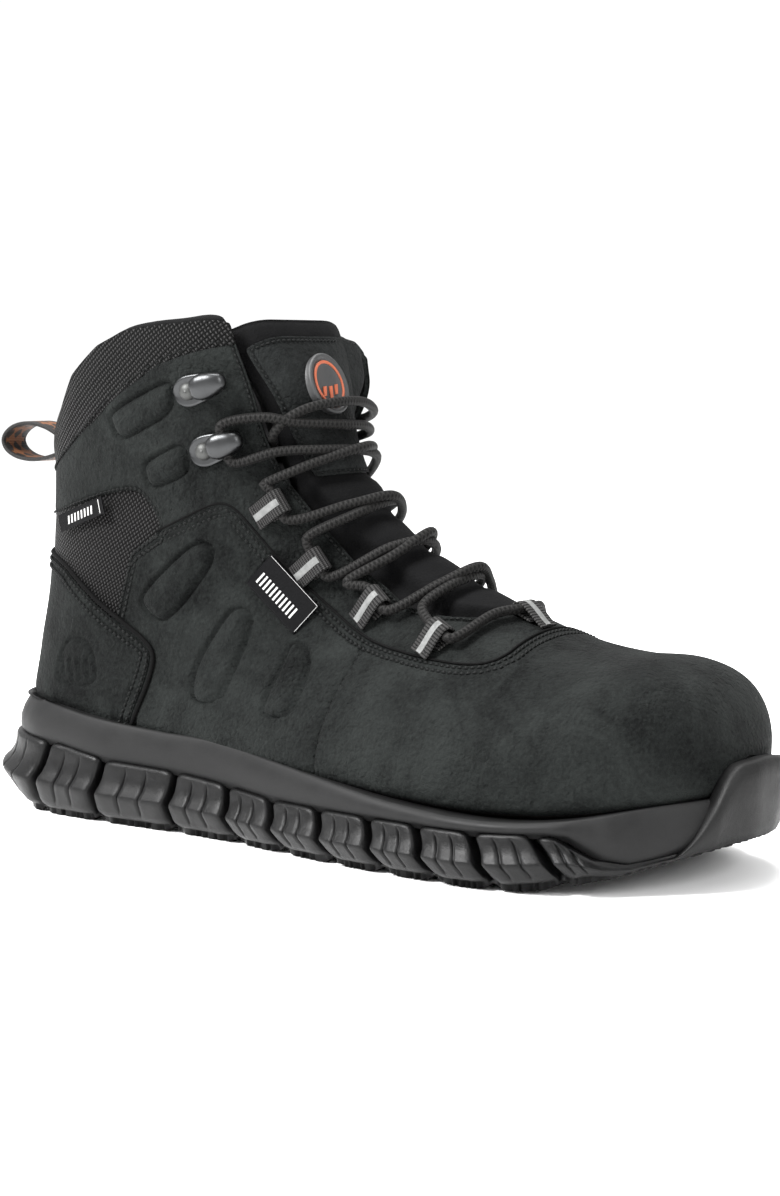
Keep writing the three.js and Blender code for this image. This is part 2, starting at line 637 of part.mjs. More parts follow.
function speedHook(side, place, ends) {
  const plate = [[-4.5, 0.8], [12.5, 0.8], [14.6, 2.6], [14.6, 5.6], [12.5, 7.5], [8, 8.2], [4.6, 7.8],
    [4.4, 6.8], [8, 7.2], [12, 6.4], [13.4, 5], [13.4, 3], [12.2, 1.8], [-4.5, 1.8]];
  const geometry = profileBody(plate, HOOK_WIDTH);
  const rivetPlace = hookFrame(ends);
  geometry.applyMatrix4(rivetPlace);
  addPiece(`hook_${side}_${place}`, mergedSolid(geometry), 'gunmetal');

  const dome = [[0, 1.8 + GAP], [3, 1.8 + GAP], [3, 2.8], [2, 3.7], [0, 4.1]];
  const rivet = new THREE.LatheGeometry(dome.map(([x, y]) => new THREE.Vector2(x, y)), 12);
  rivet.rotateX(HALF_TURN / 2);
  rivet.applyMatrix4(rivetPlace);
  addPiece(`rivet_${side}_${place}`, mergedSolid(rivet), 'gunmetal');
}

function hardware() {
  LOOPS.forEach((ends, k) => {
    laceLoop(`lace_loop_lateral_${k + 1}`, ends);
    laceLoop(`lace_loop_medial_${k + 1}`, mirrored(ends));
  });
  laceLoop('lace_loop_toe', TOE_LOOP);
  Object.entries(HOOKS).forEach(([place, ends]) => {
    speedHook('lateral', place, ends);
    speedHook('medial', place, mirrored(ends));
  });
}

// ---------------------------------------------------------------- lace

// Three points of the lace through a loop's eye or a hook's seat; along is +1 when the lace
// runs from the toe side to the heel side there.
function through(frame, x, z, reach, along) {
  return [-1, 0, 1].map((k) => new THREE.Vector3(x, k * reach * along, z).applyMatrix4(frame));
}
const UNDER = 3.2;             // height of a crossing strand that lies on the tongue
const OVER = 7.6;              // and of the one on top of it

// Half of the lace, from the toe loop up to its tucked end. side is +1 for the half that
// leaves the toe loop on the outer side.
function laceHalf(side, over) {
  const on = (s, a, h) => offUpper(s, a * side, h);
  const lift = over ? OVER : UNDER;
  const ends = (pair, flip) => (side * flip > 0 ? pair : mirrored(pair));
  const eye = (k, flip) => through(frameOn(...ends(LOOPS[k], flip)), EYE_X, LACE_LIFT,
    STRAP_WIDTH / 2 + 2, side * flip);
  const hook = (flip) => through(hookFrame(ends(HOOKS.lower, flip)), ...HOOK_SEAT,
    HOOK_WIDTH / 2 + 2, side * flip);
  return [
    on(10.9, 0.38, 3), on(10.75, 0.5, 3), ...eye(3, 1),
    on(9.32, 0.52, 3.9), on(9.04, 0.28, 3.4), on(8.9, 0, lift), on(8.85, -0.3, 3.4),
    ...eye(2, -1),
    on(7.68, -0.6, 4.2), on(7.42, -0.32, 3.5), on(7.22, 0, lift), on(7.12, 0.28, 3.4),
    ...eye(1, 1),
    on(6.0, 0.64, 4.2), on(5.76, 0.34, 3.5), on(5.55, 0, lift), on(5.4, -0.32, 3.4),
    ...eye(0, -1),
    on(4.3, -0.8, 4.2), on(4.02, -0.55, 3.8), on(3.82, -0.28, 3.6), on(3.68, 0, lift),
    on(3.6, 0.35, 3.4), on(3.5, 0.66, 3.2), ...hook(1), on(2.68, 0.72, 3.2),
  ];
}

function laceRoute() {
  const tuckedOver = [[2.6, 0.5, 3.6], [2.5, 0.2, 4.4], [2.5, -0.15, 4.2], [2.6, -0.42, 3.4],
    [2.85, -0.6, 3], [3.1, -0.68, 1], [3.3, -0.7, -4], [3.6, -0.78, -9], [4.1, -0.8, -13]];
  const tuckedUnder = [[2.85, 0.5, 3.4], [3, 0.15, 3.6], [3.05, -0.2, 3.4], [3.1, -0.5, 3.2],
    [3.18, -0.66, 1.2], [3.35, -0.7, -4], [3.65, -0.78, -9], [4.1, -0.8, -13]];
  const tucked = (points, side) => points.map(([s, a, h]) => offUpper(s, a * side, h));
  const inner = [...laceHalf(-1, true), ...tucked(tuckedOver, -1)];
  const outer = [...laceHalf(1, false), ...tucked(tuckedUnder, 1)];
  const toe = through(frameOn(...TOE_LOOP), EYE_X, LACE_LIFT, STRAP_WIDTH / 2 + 2, 1);
  return [...inner.reverse(), ...toe, ...outer];
}

function tube(path, radius, sides, steps) {
  const round = new THREE.Shape();
  for (let k = 0; k < sides; k += 1) {
    const a = (2 * HALF_TURN * k) / sides;
    const move = k === 0 ? 'moveTo' : 'lineTo';
    round[move](radius * Math.cos(a), radius * Math.sin(a));
  }
  return new THREE.ExtrudeGeometry(round, { steps, extrudePath: path, bevelEnabled: false });
}

const AGLET_LENGTH = 14;

function aglet(name, end, before) {
  const run = end.clone().sub(before).normalize();
  const geometry = new THREE.CylinderGeometry(1.6, 1.6, AGLET_LENGTH, 8);
  geometry.translate(0, AGLET_LENGTH / 2 + GAP, 0);
  const turn = new THREE.Quaternion().setFromUnitVectors(new THREE.Vector3(0, 1, 0), run);
  geometry.applyQuaternion(turn);
  geometry.translate(end.x, end.y, end.z);
  addPiece(name, geometry, 'plastic');
}

function lace() {
  const points = laceRoute();
  const path = new THREE.CatmullRomCurve3(points, false, 'centripetal');
  addPiece('lace', mergedSolid(tube(path, LACE_RADIUS, 8, 172)), 'lace');
  aglet('lace_aglet_medial', points[0], points[1]);
  aglet('lace_aglet_lateral', points.at(-1), points.at(-2));
}

// ---------------------------------------------------------------- labels and pull loop

function flatLabel(name, place, length, width, thickness, lift) {
  const geometry = new THREE.BoxGeometry(length, width, thickness);
  geometry.translate(0, 0, lift + thickness / 2);
  geometry.applyMatrix4(place);
  addPiece(name, geometry, 'webbing');
}

const LOOP_X = -38;            // where the two ends of the pull loop meet the heel
const LOOP_Z = 138;
const LOOP_WIDTH = 13;
const HALF_WEBBING = 0.8;

function pullLoop() {
  const middle = [[0, 3.2], [-8, 7], [-17, 8.8], [-25, 7], [-29.5, 3], [-30.5, 0], [-29.5, -3],
    [-25, -7], [-17, -8.8], [-8, -7], [0, -3.2]];
  const curve = new THREE.CatmullRomCurve3(middle.map(([x, z]) => new THREE.Vector3(x, 0, z)));
  const points = curve.getPoints(26);
  const side = (sign) => points.map((p, k) => {
    const before = points[Math.max(k - 1, 0)];
    const after = points[Math.min(k + 1, points.length - 1)];
    const run = after.clone().sub(before).normalize();
    return [p.x - run.z * sign * HALF_WEBBING, p.z + run.x * sign * HALF_WEBBING];
  });
  const geometry = profileBody([...side(1), ...side(-1).reverse()], LOOP_WIDTH);
  geometry.translate(LOOP_X, 0, LOOP_Z);
  addPiece('pull_loop', mergedSolid(geometry), 'webbing');
}

function labels() {
  flatLabel('seam_label', frameOn([7.46, 0.92], [6.86, 0.72]), 14, 26, 0.8, 2.8);
  flatLabel('ankle_label', frameOn([4.05, 2.22], [3.9, 1.78]), 28, 6, 0.8, 1.6);
}

upperPanels();
steelToeCap();
heelCounter();
bootieAndCollarPad();
insoleAndFootbed();
tonguePad();
tongueTrim();
midsole();
outsole();
toeBumper();
hardware();
lace();
labels();
pullLoop();

export default boot;
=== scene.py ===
"""Looks of the steel toe work boot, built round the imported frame.

Lengths are in millimetres up to the last step of each mesh, which is in metres.
+X points to the toe, +Y to the inner side of the foot, +Z up.
"""

import json
import math

import bpy
import numpy as np
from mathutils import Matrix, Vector
from mathutils.kdtree import KDTree


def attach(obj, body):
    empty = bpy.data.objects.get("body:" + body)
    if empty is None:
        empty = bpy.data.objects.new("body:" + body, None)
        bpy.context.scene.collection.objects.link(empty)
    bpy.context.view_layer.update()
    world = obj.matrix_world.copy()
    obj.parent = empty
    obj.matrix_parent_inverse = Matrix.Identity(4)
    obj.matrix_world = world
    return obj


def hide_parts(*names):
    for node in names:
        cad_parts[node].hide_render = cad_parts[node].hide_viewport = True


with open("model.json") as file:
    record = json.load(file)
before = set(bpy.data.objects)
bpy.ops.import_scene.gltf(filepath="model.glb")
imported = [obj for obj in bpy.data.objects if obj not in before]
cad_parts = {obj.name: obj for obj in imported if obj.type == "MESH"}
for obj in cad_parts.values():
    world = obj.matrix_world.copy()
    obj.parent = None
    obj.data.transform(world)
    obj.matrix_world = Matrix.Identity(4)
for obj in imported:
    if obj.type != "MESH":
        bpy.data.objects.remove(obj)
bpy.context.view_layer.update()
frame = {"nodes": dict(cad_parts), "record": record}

MM = 0.001
PI = math.pi

# ------------------------------------------------------------ shape of the closed upper

# Front x, z, back x, z, outer and inner half width, share of the section ahead of its
# widest place, roundness of front and back, sideways shift of front and back.
SECTIONS = np.array([
    [79, 198, -36, 198, 41, 39, 0.52, 2.9, 2.2, 0, 0],
    [84, 180, -37, 180, 41, 39, 0.52, 2.9, 2.2, 0, 0],
    [91, 163, -36, 158, 39, 37, 0.52, 2.5, 2.2, 0, 0],
    [96, 147, -35.2, 135, 37, 35, 0.53, 2.2, 2.2, 0, 0],
    [101, 134, -36.4, 110, 35.5, 34.5, 0.56, 2.2, 2.2, 0, 0],
    [108, 124, -37.6, 84, 35, 34.5, 0.60, 2.2, 2.3, 0, 0],
    [116, 115, -41, 58, 35, 34.5, 0.66, 2.1, 2.5, 0, 0],
    [126, 107, -38, 34, 36, 35.5, 0.74, 2.0, 3.2, 1, 0],
    [137, 100, -10, 25, 37, 36, 0.80, 2.0, 4.0, 3, -1],
    [149, 93, 40, 24, 41, 37, 0.82, 2.0, 5.0, 5, -2],
    [162, 87, 90, 23, 46, 40, 0.80, 2.0, 5.0, 6, -2],
    [176, 81, 140, 21, 50, 47, 0.76, 2.1, 5.0, 6, 0],
    [192, 75, 178, 19, 51, 51, 0.72, 2.2, 5.0, 6, 1],
    [209, 72, 206, 20, 49, 52, 0.68, 2.4, 5.0, 6, 2],
    [226, 71.5, 226, 22, 44, 48, 0.62, 2.6, 5.0, 6, 3],
    [239, 67, 240, 24, 36, 40.5, 0.56, 2.7, 5.0, 6, 4],
    [248.5, 58, 248.5, 27, 25, 29.5, 0.55, 2.6, 4.0, 6, 5],
    [254, 48, 254, 30, 13, 16, 0.50, 2.4, 3.0, 6, 6],
    [255.5, 42, 255.5, 35, 5, 7, 0.50, 2.2, 2.6, 6, 6],
])
LAST = len(SECTIONS) - 1
NUMBERED = np.column_stack([np.arange(len(SECTIONS)), SECTIONS])

# Edge of the lacing opening on the outer and the inner side: section, angle from the ridge.
THROAT = [(0, 0.79), (2, 0.75), (3, 0.72), (4, 0.66), (5, 0.58), (6.5, 0.49), (8, 0.48),
          (9.2, 0.5), (9.8, 0.42), (10.2, 0.28), (10.4, 0.1)]
THROAT_END = 10.4
INNER_THROAT = [(0, 0.6), (1.5, 0.6), (2.4, 0.62), (3.2, 0.7), (4, 0.68)] + THROAT[4:]
COLLAR_FLARE = 8.0              # how far the inner collar corner stands off the tongue

# Outlines of the panels in side view: x, z.
FEATHER = [(-60, 26), (0, 25), (90, 24), (140, 21), (200, 20.5), (240, 23), (262, 26)]
RIM = [(-60, 142), (-36, 143), (-24, 145.5), (-15, 153), (-4, 165.5), (13, 176.5), (26, 181.5),
       (39, 183.5), (52, 184.5), (64, 185.5), (72, 184), (82, 178), (90, 169)]
COLLAR_SEAM = [(-60, 126), (-36, 128), (-19, 135), (-4, 144), (6, 151), (17, 159), (29, 166),
               (43, 173), (56, 177), (73, 180), (90, 181)]
FOXING = [(-60, 100), (-36, 98), (-15, 95), (-3, 88), (9, 80), (26, 71), (33, 66), (34, 62),
          (32, 54), (28, 44), (24, 32), (20, 10), (-60, 10)]
ANKLE_MESH = [(-60, 109), (-36, 110), (-17, 113), (0, 117.5), (15, 121.5), (26, 123),
              (31, 121), (36, 114.5), (38, 110), (31, 105), (24, 101.5), (22, 95), (18, 82),
              (16, 76), (9, 80), (-3, 88), (-15, 95), (-36, 98), (-60, 98)]
SHAFT_LOW_EDGE = [(-60, 109), (16, 90), (24, 101.5), (33, 107), (47, 113), (59, 118.5),
                  (65, 120), (70, 117.5), (76, 111), (84, 102), (92, 94), (106, 84), (119, 77),
                  (131, 73), (152, 70), (168, 69), (177, 70), (181, 74), (181, 90)]
SHAFT = SHAFT_LOW_EDGE + [(181, 220), (-60, 220)]
VAMP_SEAM = [(20, 118), (45, 118.6), (58, 121), (70, 124.5), (82, 127.5)]    # z, x
BAND_TOP = [(-45, 44), (-20, 43), (13, 39), (40, 37), (68, 36), (94, 33), (124, 29),
            (151, 25.5), (224, 25.5), (241, 29), (258, 31)]
PAD_LOW_EDGE = [(-60, 114), (-36, 116), (10, 126), (60, 138), (120, 150)]


def follow(rows, x, column=1):
    """Smooth value at x of a curve through rows of (x, value, ...)."""
    rows = np.asarray(rows, float)
    xs, ys = rows[:, 0], rows[:, column]
    width = np.diff(xs)
    slope = np.diff(ys) / width
    inner = (width[:-1] * slope[1:] + width[1:] * slope[:-1]) / (width[:-1] + width[1:])
    tangent = np.concatenate([slope[:1], inner, slope[-1:]])
    i = np.clip(np.searchsorted(xs, x) - 1, 0, len(width) - 1)
    w = width[i]
    t = (x - xs[i]) / w
    rise = (3 - 2 * t) * t * t
    return ((1 - rise) * ys[i] + rise * ys[i + 1] + (t - 1) ** 2 * t * w * tangent[i]
            + (t - 1) * t * t * w * tangent[i + 1])


def inner_drop(x, z, a):
    """How much lower the collar's rim runs towards its inner front corner."""
    inner = np.mod(a, 2 * PI) > PI
    return 6.0 * inner * np.clip((x - 20) / 45, 0, 1) * np.clip((z - 125) / 30, 0, 1)


def opening_edge(s, a):
    """Angle of the lacing opening's edge on the side where the angle a is."""
    low = np.minimum(s, THROAT_END)
    return np.where(np.mod(a, 2 * PI) < PI, follow(THROAT, low), follow(INNER_THROAT, low))


def flare(s, a):
    """Length by which the inner collar corner is opened out, at section s and angle a."""
    inner = PI - np.mod(a + PI, 2 * PI)
    share = (np.clip((3.5 - s) / 1.6, 0, 1) * np.clip((inner - 0.25) / 0.3, 0, 1)
             * np.clip((1.7 - inner) / 0.8, 0, 1))
    return COLLAR_FLARE * share * share * (3 - 2 * share)


def on_upper(s, a, inset=0.0):
    """Point of the upper at section s and angle a: 0 on the front ridge, positive outside."""
    s, a = np.broadcast_arrays(np.asarray(s, float), np.asarray(a, float))
    s = np.clip(s, 0, LAST)
    (fx, fz, bx, bz, w_out, w_in, ahead, p_front, p_back, y_front, y_back) = (
        follow(NUMBERED, s, k + 1) for k in range(11))
    cut = inset / np.hypot(fx - bx, fz - bz)
    power = 2 / np.where(np.cos(a) >= 0, p_front, p_back)
    c = np.sign(np.cos(a)) * np.abs(np.cos(a)) ** power
    side = np.sign(np.sin(a)) * np.abs(np.sin(a)) ** power
    share = np.where(c >= 0, ahead - (ahead - cut) * c, ahead - (1 - cut - ahead) * c)
    half = np.where(side >= 0, w_out, w_in) - inset
    y = y_front + (y_back - y_front) * share - side * half
    open_out = flare(s, a)
    x = fx + (bx - fx) * share + 0.35 * open_out
    return np.stack([x, y + 0.94 * open_out, fz + (bz - fz) * share], axis=-1)


def unit(v):
    return v / np.maximum(np.linalg.norm(v, axis=-1, keepdims=True), 1e-9)


def normal_at(s, a):
    s = np.asarray(s, float)
    ds, da = 0.05, 0.03
    along = on_upper(np.minimum(s + ds, LAST), a) - on_upper(np.maximum(s - ds, 0), a)
    round_it = on_upper(s, a + da) - on_upper(s, a - da)
    return unit(np.cross(round_it, along))


def off_upper(s, a, out):
    out = np.asarray(out, float)
    return on_upper(s, a) + normal_at(s, a) * out[..., None]


# ------------------------------------------------------------ grid over the upper

GRID_ROWS = 360
GRID_COLUMNS = 380


def running_length(points):
    """Length along a path up to each of its points."""
    return np.concatenate([[0], np.cumsum(np.linalg.norm(np.diff(points, axis=0), axis=1))])


def at_lengths(wanted, run, values):
    """Values at the wanted lengths, from rows of values at the lengths in run."""
    return np.column_stack([np.interp(wanted, run, column) for column in values.T])


def bump(x, width):
    """A rounded hill, 1 high at 0."""
    return np.exp(-(x / width) ** 2)


def ramp(x, start, length):
    """0 up to the start, then a straight climb to 1 over the length."""
    return np.clip((x - start) / length, 0, 1)


def arc_angles(s, inset=0.0):
    """Angles that split the section at s into equal lengths, for a closed ring."""
    fine = np.linspace(-PI, PI, 1441)
    points = on_upper(s, fine, inset)
    run = running_length(points)
    return np.interp(np.linspace(0, run[-1], GRID_COLUMNS + 1)[:-1], run, fine)


class Grid:
    """Points, normals and lengths over the upper; the columns run round and close."""

    def __init__(self, inset=0.0, last=LAST):
        even = np.linspace(0, 1, GRID_ROWS)
        rows = last * (0.75 * even + 0.25 * even ** 3)
        self.a = np.array([arc_angles(s, inset) for s in rows])
        self.s = np.repeat(rows[:, None], GRID_COLUMNS, axis=1)
        self.p = on_upper(self.s, self.a, inset)
        self.down = np.gradient(self.p, axis=0)
        self.round = (np.roll(self.p, -1, 1) - np.roll(self.p, 1, 1)) / 2
        self.n = unit(np.cross(self.round, self.down))
        self.x, self.y, self.z = self.p[..., 0], self.p[..., 1], self.p[..., 2]
        step = np.linalg.norm(self.p - np.roll(self.p, 1, 1), axis=-1)
        self.v = np.cumsum(step, axis=1)
        self.v_ridge = self.v - self.v[:, GRID_COLUMNS // 2][:, None]
        self.v_heel = np.where(self.a > 0, self.v - step.sum(1)[:, None], self.v)
        run = np.linalg.norm(np.diff(self.p, axis=0), axis=-1)
        self.u = np.vstack([np.zeros((1, GRID_COLUMNS)), np.cumsum(run, axis=0)])

    def in_mm(self, field):
        """The field divided by its slope along the surface: a length near its zero line."""
        rows = np.gradient(field, axis=0) / np.linalg.norm(self.down, axis=-1)
        columns = (np.roll(field, -1, 1) - np.roll(field, 1, 1)) / 2
        columns = columns / np.maximum(np.linalg.norm(self.round, axis=-1), 0.05)
        return field / np.clip(np.hypot(rows, columns), 0.3, 2)


def inside(outline, x, z):
    """Length to the outline, positive inside it."""
    points = np.asarray(outline, float)
    nearest = np.full(x.shape, 1e9)
    within = np.zeros(x.shape, bool)
    for (ax, az), (bx, bz) in zip(points, np.roll(points, -1, 0)):
        dx, dz = bx - ax, bz - az
        t = np.clip(((x - ax) * dx + (z - az) * dz) / (dx * dx + dz * dz), 0, 1)
        nearest = np.minimum(nearest, np.hypot(x - ax - dx * t, z - az - dz * t))
        if dz:
            within ^= ((az > z) != (bz > z)) & (x < dx * (z - az) / dz + ax)
    return np.where(within, nearest, -nearest)


def rounded(outline, times=2):
    """Outline with its corners cut to a smooth curve."""
    points = np.asarray(outline, float)
    for _ in range(times):
        after = np.roll(points, -1, 0)
        points = np.stack([points * 0.75 + after * 0.25, points * 0.25 + after * 0.75], 1)
        points = points.reshape(-1, 2)
    return points


def clip(field):
    """Faces of the closed grid where the field is positive, cut along its zero line.

    Each new vertex is a pair of grid places and the share of the way between them.
    """
    rows, columns = field.shape
    f = field.ravel()
    number = np.arange(rows * columns).reshape(rows, columns)
    a = number[:-1]
    b = number[1:]
    cells = np.stack([a, b, np.roll(b, -1, 1), np.roll(a, -1, 1)], -1).reshape(-1, 4)
    count = (f[cells] > 0).sum(1)
    start, end, share, seen = [], [], [], {}

    def vertex(i, j):
        key = (i, j) if i <= j else (j, i)
        if key not in seen:
            seen[key] = len(start)
            start.append(key[0])
            end.append(key[1])
            low, high = f[key[0]], f[key[1]]
            share.append(0.0 if i == j else float(np.clip(low / (low - high), 0.06, 0.94)))
        return seen[key]

    faces = [tuple(vertex(k, k) for k in cell) for cell in cells[count == 4].tolist()]
    for cell in cells[(count > 0) & (count < 4)].tolist():
        ring = []
        for i, j in zip(cell, cell[1:] + cell[:1]):
            if f[i] > 0:
                ring.append(vertex(i, i))
            if (f[i] > 0) != (f[j] > 0):
                ring.append(vertex(i, j))
        faces.append(tuple(ring))
    return largest(faces), np.array(start), np.array(end), np.array(share)


def largest(faces):
    """The faces of the biggest connected patch."""
    parent = {}

    def root(v):
        while parent.setdefault(v, v) != v:
            parent[v] = parent[parent[v]]
            v = parent[v]
        return v

    for face in faces:
        first = root(face[0])
        for v in face[1:]:
            parent[root(v)] = first
    sizes = {}
    for face in faces:
        r = root(face[0])
        sizes[r] = sizes.get(r, 0) + 1
    best = max(sizes, key=sizes.get)
    return [face for face in faces if root(face[0]) == best]


def edge_loops(faces):
    """Closed loops of vertices round the open edges, with the faces on their left."""
    open_edges = set()
    for face in faces:
        for i, j in zip(face, face[1:] + face[:1]):
            if (j, i) in open_edges:
                open_edges.remove((j, i))
            else:
                open_edges.add((i, j))
    onward = dict(sorted(open_edges))
    loops = []
    while onward:
        i, j = next(iter(onward.items()))
        loop = [i]
        while j != i and j in onward:
            loop.append(j)
            j = onward.pop(j)
        onward.pop(i, None)
        loops.append(loop)
    return [loop for loop in loops if len(loop) > 5]


def blend_ring(values, times):
    """Smooths a closed row of values."""
    for _ in range(times):
        values = (np.roll(values, 1, 0) + 2 * values + np.roll(values, -1, 0)) / 4
    return values


def blend_open(values, times):
    """Smooths a row of values and keeps its ends."""
    for _ in range(times):
        values = np.vstack([values[:1], (values[:-2] + 2 * values[1:-1] + values[2:]) / 4,
                            values[-1:]])
    return values


# ------------------------------------------------------------ meshes


def new_object(name, data):
    """Object in the scene that shows the data."""
    obj = bpy.data.objects.new(name, data)
    bpy.context.scene.collection.objects.link(obj)
    return obj


def make(name, points, faces, look, uv=None, smooth=True, body="boot", nodes=()):
    """Mesh object from points in millimetres, riding on a body of the frame."""
    data = bpy.data.meshes.new(name)
    data.from_pydata((np.asarray(points) * MM).tolist(), [], [list(f) for f in faces])
    data.validate()
    if uv is not None:
        layer = data.uv_layers.new(name="surface")
        corners = np.zeros(len(data.loops), int)
        data.loops.foreach_get("vertex_index", corners)
        layer.data.foreach_set("uv", (np.asarray(uv)[corners] * MM).ravel())
    if smooth:
        data.shade_smooth()
    data.materials.append(look)
    obj = new_object(name, data)
    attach(obj, body)
    if nodes:
        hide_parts(*nodes)
    return obj


def panel(name, grid, field, look, height=0.0, thickness=1.6, radius=0.7, detail=None,
          v="v_ridge", body="boot", sign=1):
    """Piece of leather or cloth with a rounded edge, laid over the grid's surface."""
    faces, start, end, share = clip(field - radius)
    used = sorted({v for face in faces for v in face})
    renumber = {old: new for new, old in enumerate(used)}
    faces = [tuple(renumber[v] for v in face) for face in faces]
    start, end, share = start[used], end[used], share[used]

    def pick(values):
        flat = values.reshape(values.shape[0] * values.shape[1], -1)
        mixed = flat[start] * (1 - share[:, None]) + flat[end] * share[:, None]
        return mixed if values.ndim == 3 else mixed[:, 0]

    p, n = pick(grid.p), unit(pick(grid.n)) * sign
    uv = np.column_stack([pick(grid.u), pick(getattr(grid, v))])
    lift = np.full(len(p), float(height))
    if detail is not None:
        lift += pick(detail)
    loops = edge_loops(faces)
    for loop in loops:
        p[loop] = blend_ring(p[loop], 3)
        lift[loop] = blend_ring(lift[loop], 2)
    top = p + n * lift[:, None]
    under = p + n * (height - thickness)
    points = [top, under]
    uvs = [uv, uv]
    total = 2 * len(p)
    shell = list(faces) + [tuple(v + len(p) for v in reversed(face)) for face in faces]
    for loop in loops:
        ring_p, ring_n = top[loop], n[loop]
        tangent = np.roll(ring_p, -2, 0) - np.roll(ring_p, 2, 0)
        out = unit(blend_ring(unit(np.cross(tangent, ring_n)), 3)) * sign
        previous = list(loop)
        steps = [(math.sin(t), 1 - math.cos(t)) for t in (0.5, 1.05, PI / 2)]
        depth = (thickness - 0.25 + lift[loop] - height)[:, None]
        rings = [ring_p + out * radius * o - ring_n * radius * d for o, d in steps]
        rings.append(ring_p + out * radius - ring_n * np.maximum(depth, radius))
        for ring in rings:
            numbers = list(range(total, total + len(loop)))
            shell += strip(previous, numbers)
            points.append(ring)
            uvs.append(uv[loop])
            total += len(loop)
            previous = numbers
        shell += strip(previous, [k + len(p) for k in loop])
    if sign < 0:
        shell = [face[::-1] for face in shell]
    return make(name, np.vstack(points), shell, look, np.vstack(uvs), body=body,
                nodes=[name])


def strip(one, two, closed=True):
    """Quads between two rows of vertex numbers of one length."""
    count = len(one) if closed else len(one) - 1
    return [(one[k], two[k], two[(k + 1) % len(two)], one[(k + 1) % len(one)])
            for k in range(count)]


# ------------------------------------------------------------ cloth

CLOTH_FRAMES = 20
CLOTH_VOXEL = 4.0               # size of the remeshed cloth's cells
CLOTH_ENLARGED = 20             # the solver's own lengths suit a copy about this much bigger
CLOTH_MASS = 0.1
CLOTH_PRESSURE = 20.0


def swell(obj, freedom, cap):
    """Blows a padded piece up as cloth and moves its vertices the same way.

    Freedom, from 0 to 1 for each vertex, says how far it follows the cloth; the cloth is
    held where it is under a half. No point moves further than the cap.
    """
    scene = bpy.context.scene
    work = new_object("cloth", obj.data.copy())
    remesh = work.modifiers.new("remesh", "REMESH")
    remesh.mode = "VOXEL"
    remesh.voxel_size = CLOTH_VOXEL * MM
    sheet = bpy.data.meshes.new_from_object(
        work.evaluated_get(bpy.context.evaluated_depsgraph_get()))
    work.modifiers.clear()
    work.data = sheet
    start = np.array([v.co for v in sheet.vertices])
    sheet.vertices.foreach_set("co", (start * CLOTH_ENLARGED).ravel())
    points = np.array([v.co for v in obj.data.vertices])
    held = work.vertex_groups.new(name="held")
    near = nearest_of(points, start, 1)[0][:, 0]
    held.add([int(k) for k in np.flatnonzero(freedom[near] < 0.5)], 1.0, "REPLACE")
    cloth = work.modifiers.new("cloth", "CLOTH")
    cloth.point_cache.frame_start, cloth.point_cache.frame_end = 1, CLOTH_FRAMES
    cloth.settings.use_pressure = True
    cloth.settings.uniform_pressure_force = CLOTH_PRESSURE
    cloth.settings.mass = CLOTH_MASS
    cloth.settings.vertex_group_mass = "held"
    cloth.settings.effector_weights.gravity = 0
    for number in range(1, CLOTH_FRAMES + 1):
        scene.frame_set(number)
    blown = work.evaluated_get(bpy.context.evaluated_depsgraph_get()).to_mesh()
    move = np.array([v.co for v in blown.vertices]) / CLOTH_ENLARGED - start
    bpy.data.objects.remove(work, do_unlink=True)
    scene.frame_set(1)
    length = np.linalg.norm(move, axis=1, keepdims=True)
    move *= np.minimum(1, cap * MM / np.maximum(length, 1e-9))
    near, weight = nearest_of(start, points, 4)
    moved = points + (move[near] * weight[..., None]).sum(1) * freedom[:, None]
    obj.data.vertices.foreach_set("co", moved.ravel())
    obj.data.update()


def nearest_of(points, places, count):
    """The nearest points to each place, and their weights by distance."""
    tree = KDTree(len(points))
    for k, point in enumerate(points):
        tree.insert(point, k)
    tree.balance()
    found = [tree.find_n(place, count) for place in places]
    near = np.array([[index for _, index, _ in row] for row in found])
    away = np.array([[distance for _, _, distance in row] for row in found]) + 0.5 * MM
    return near, (1 / away) / (1 / away).sum(1, keepdims=True)


# ------------------------------------------------------------ materials


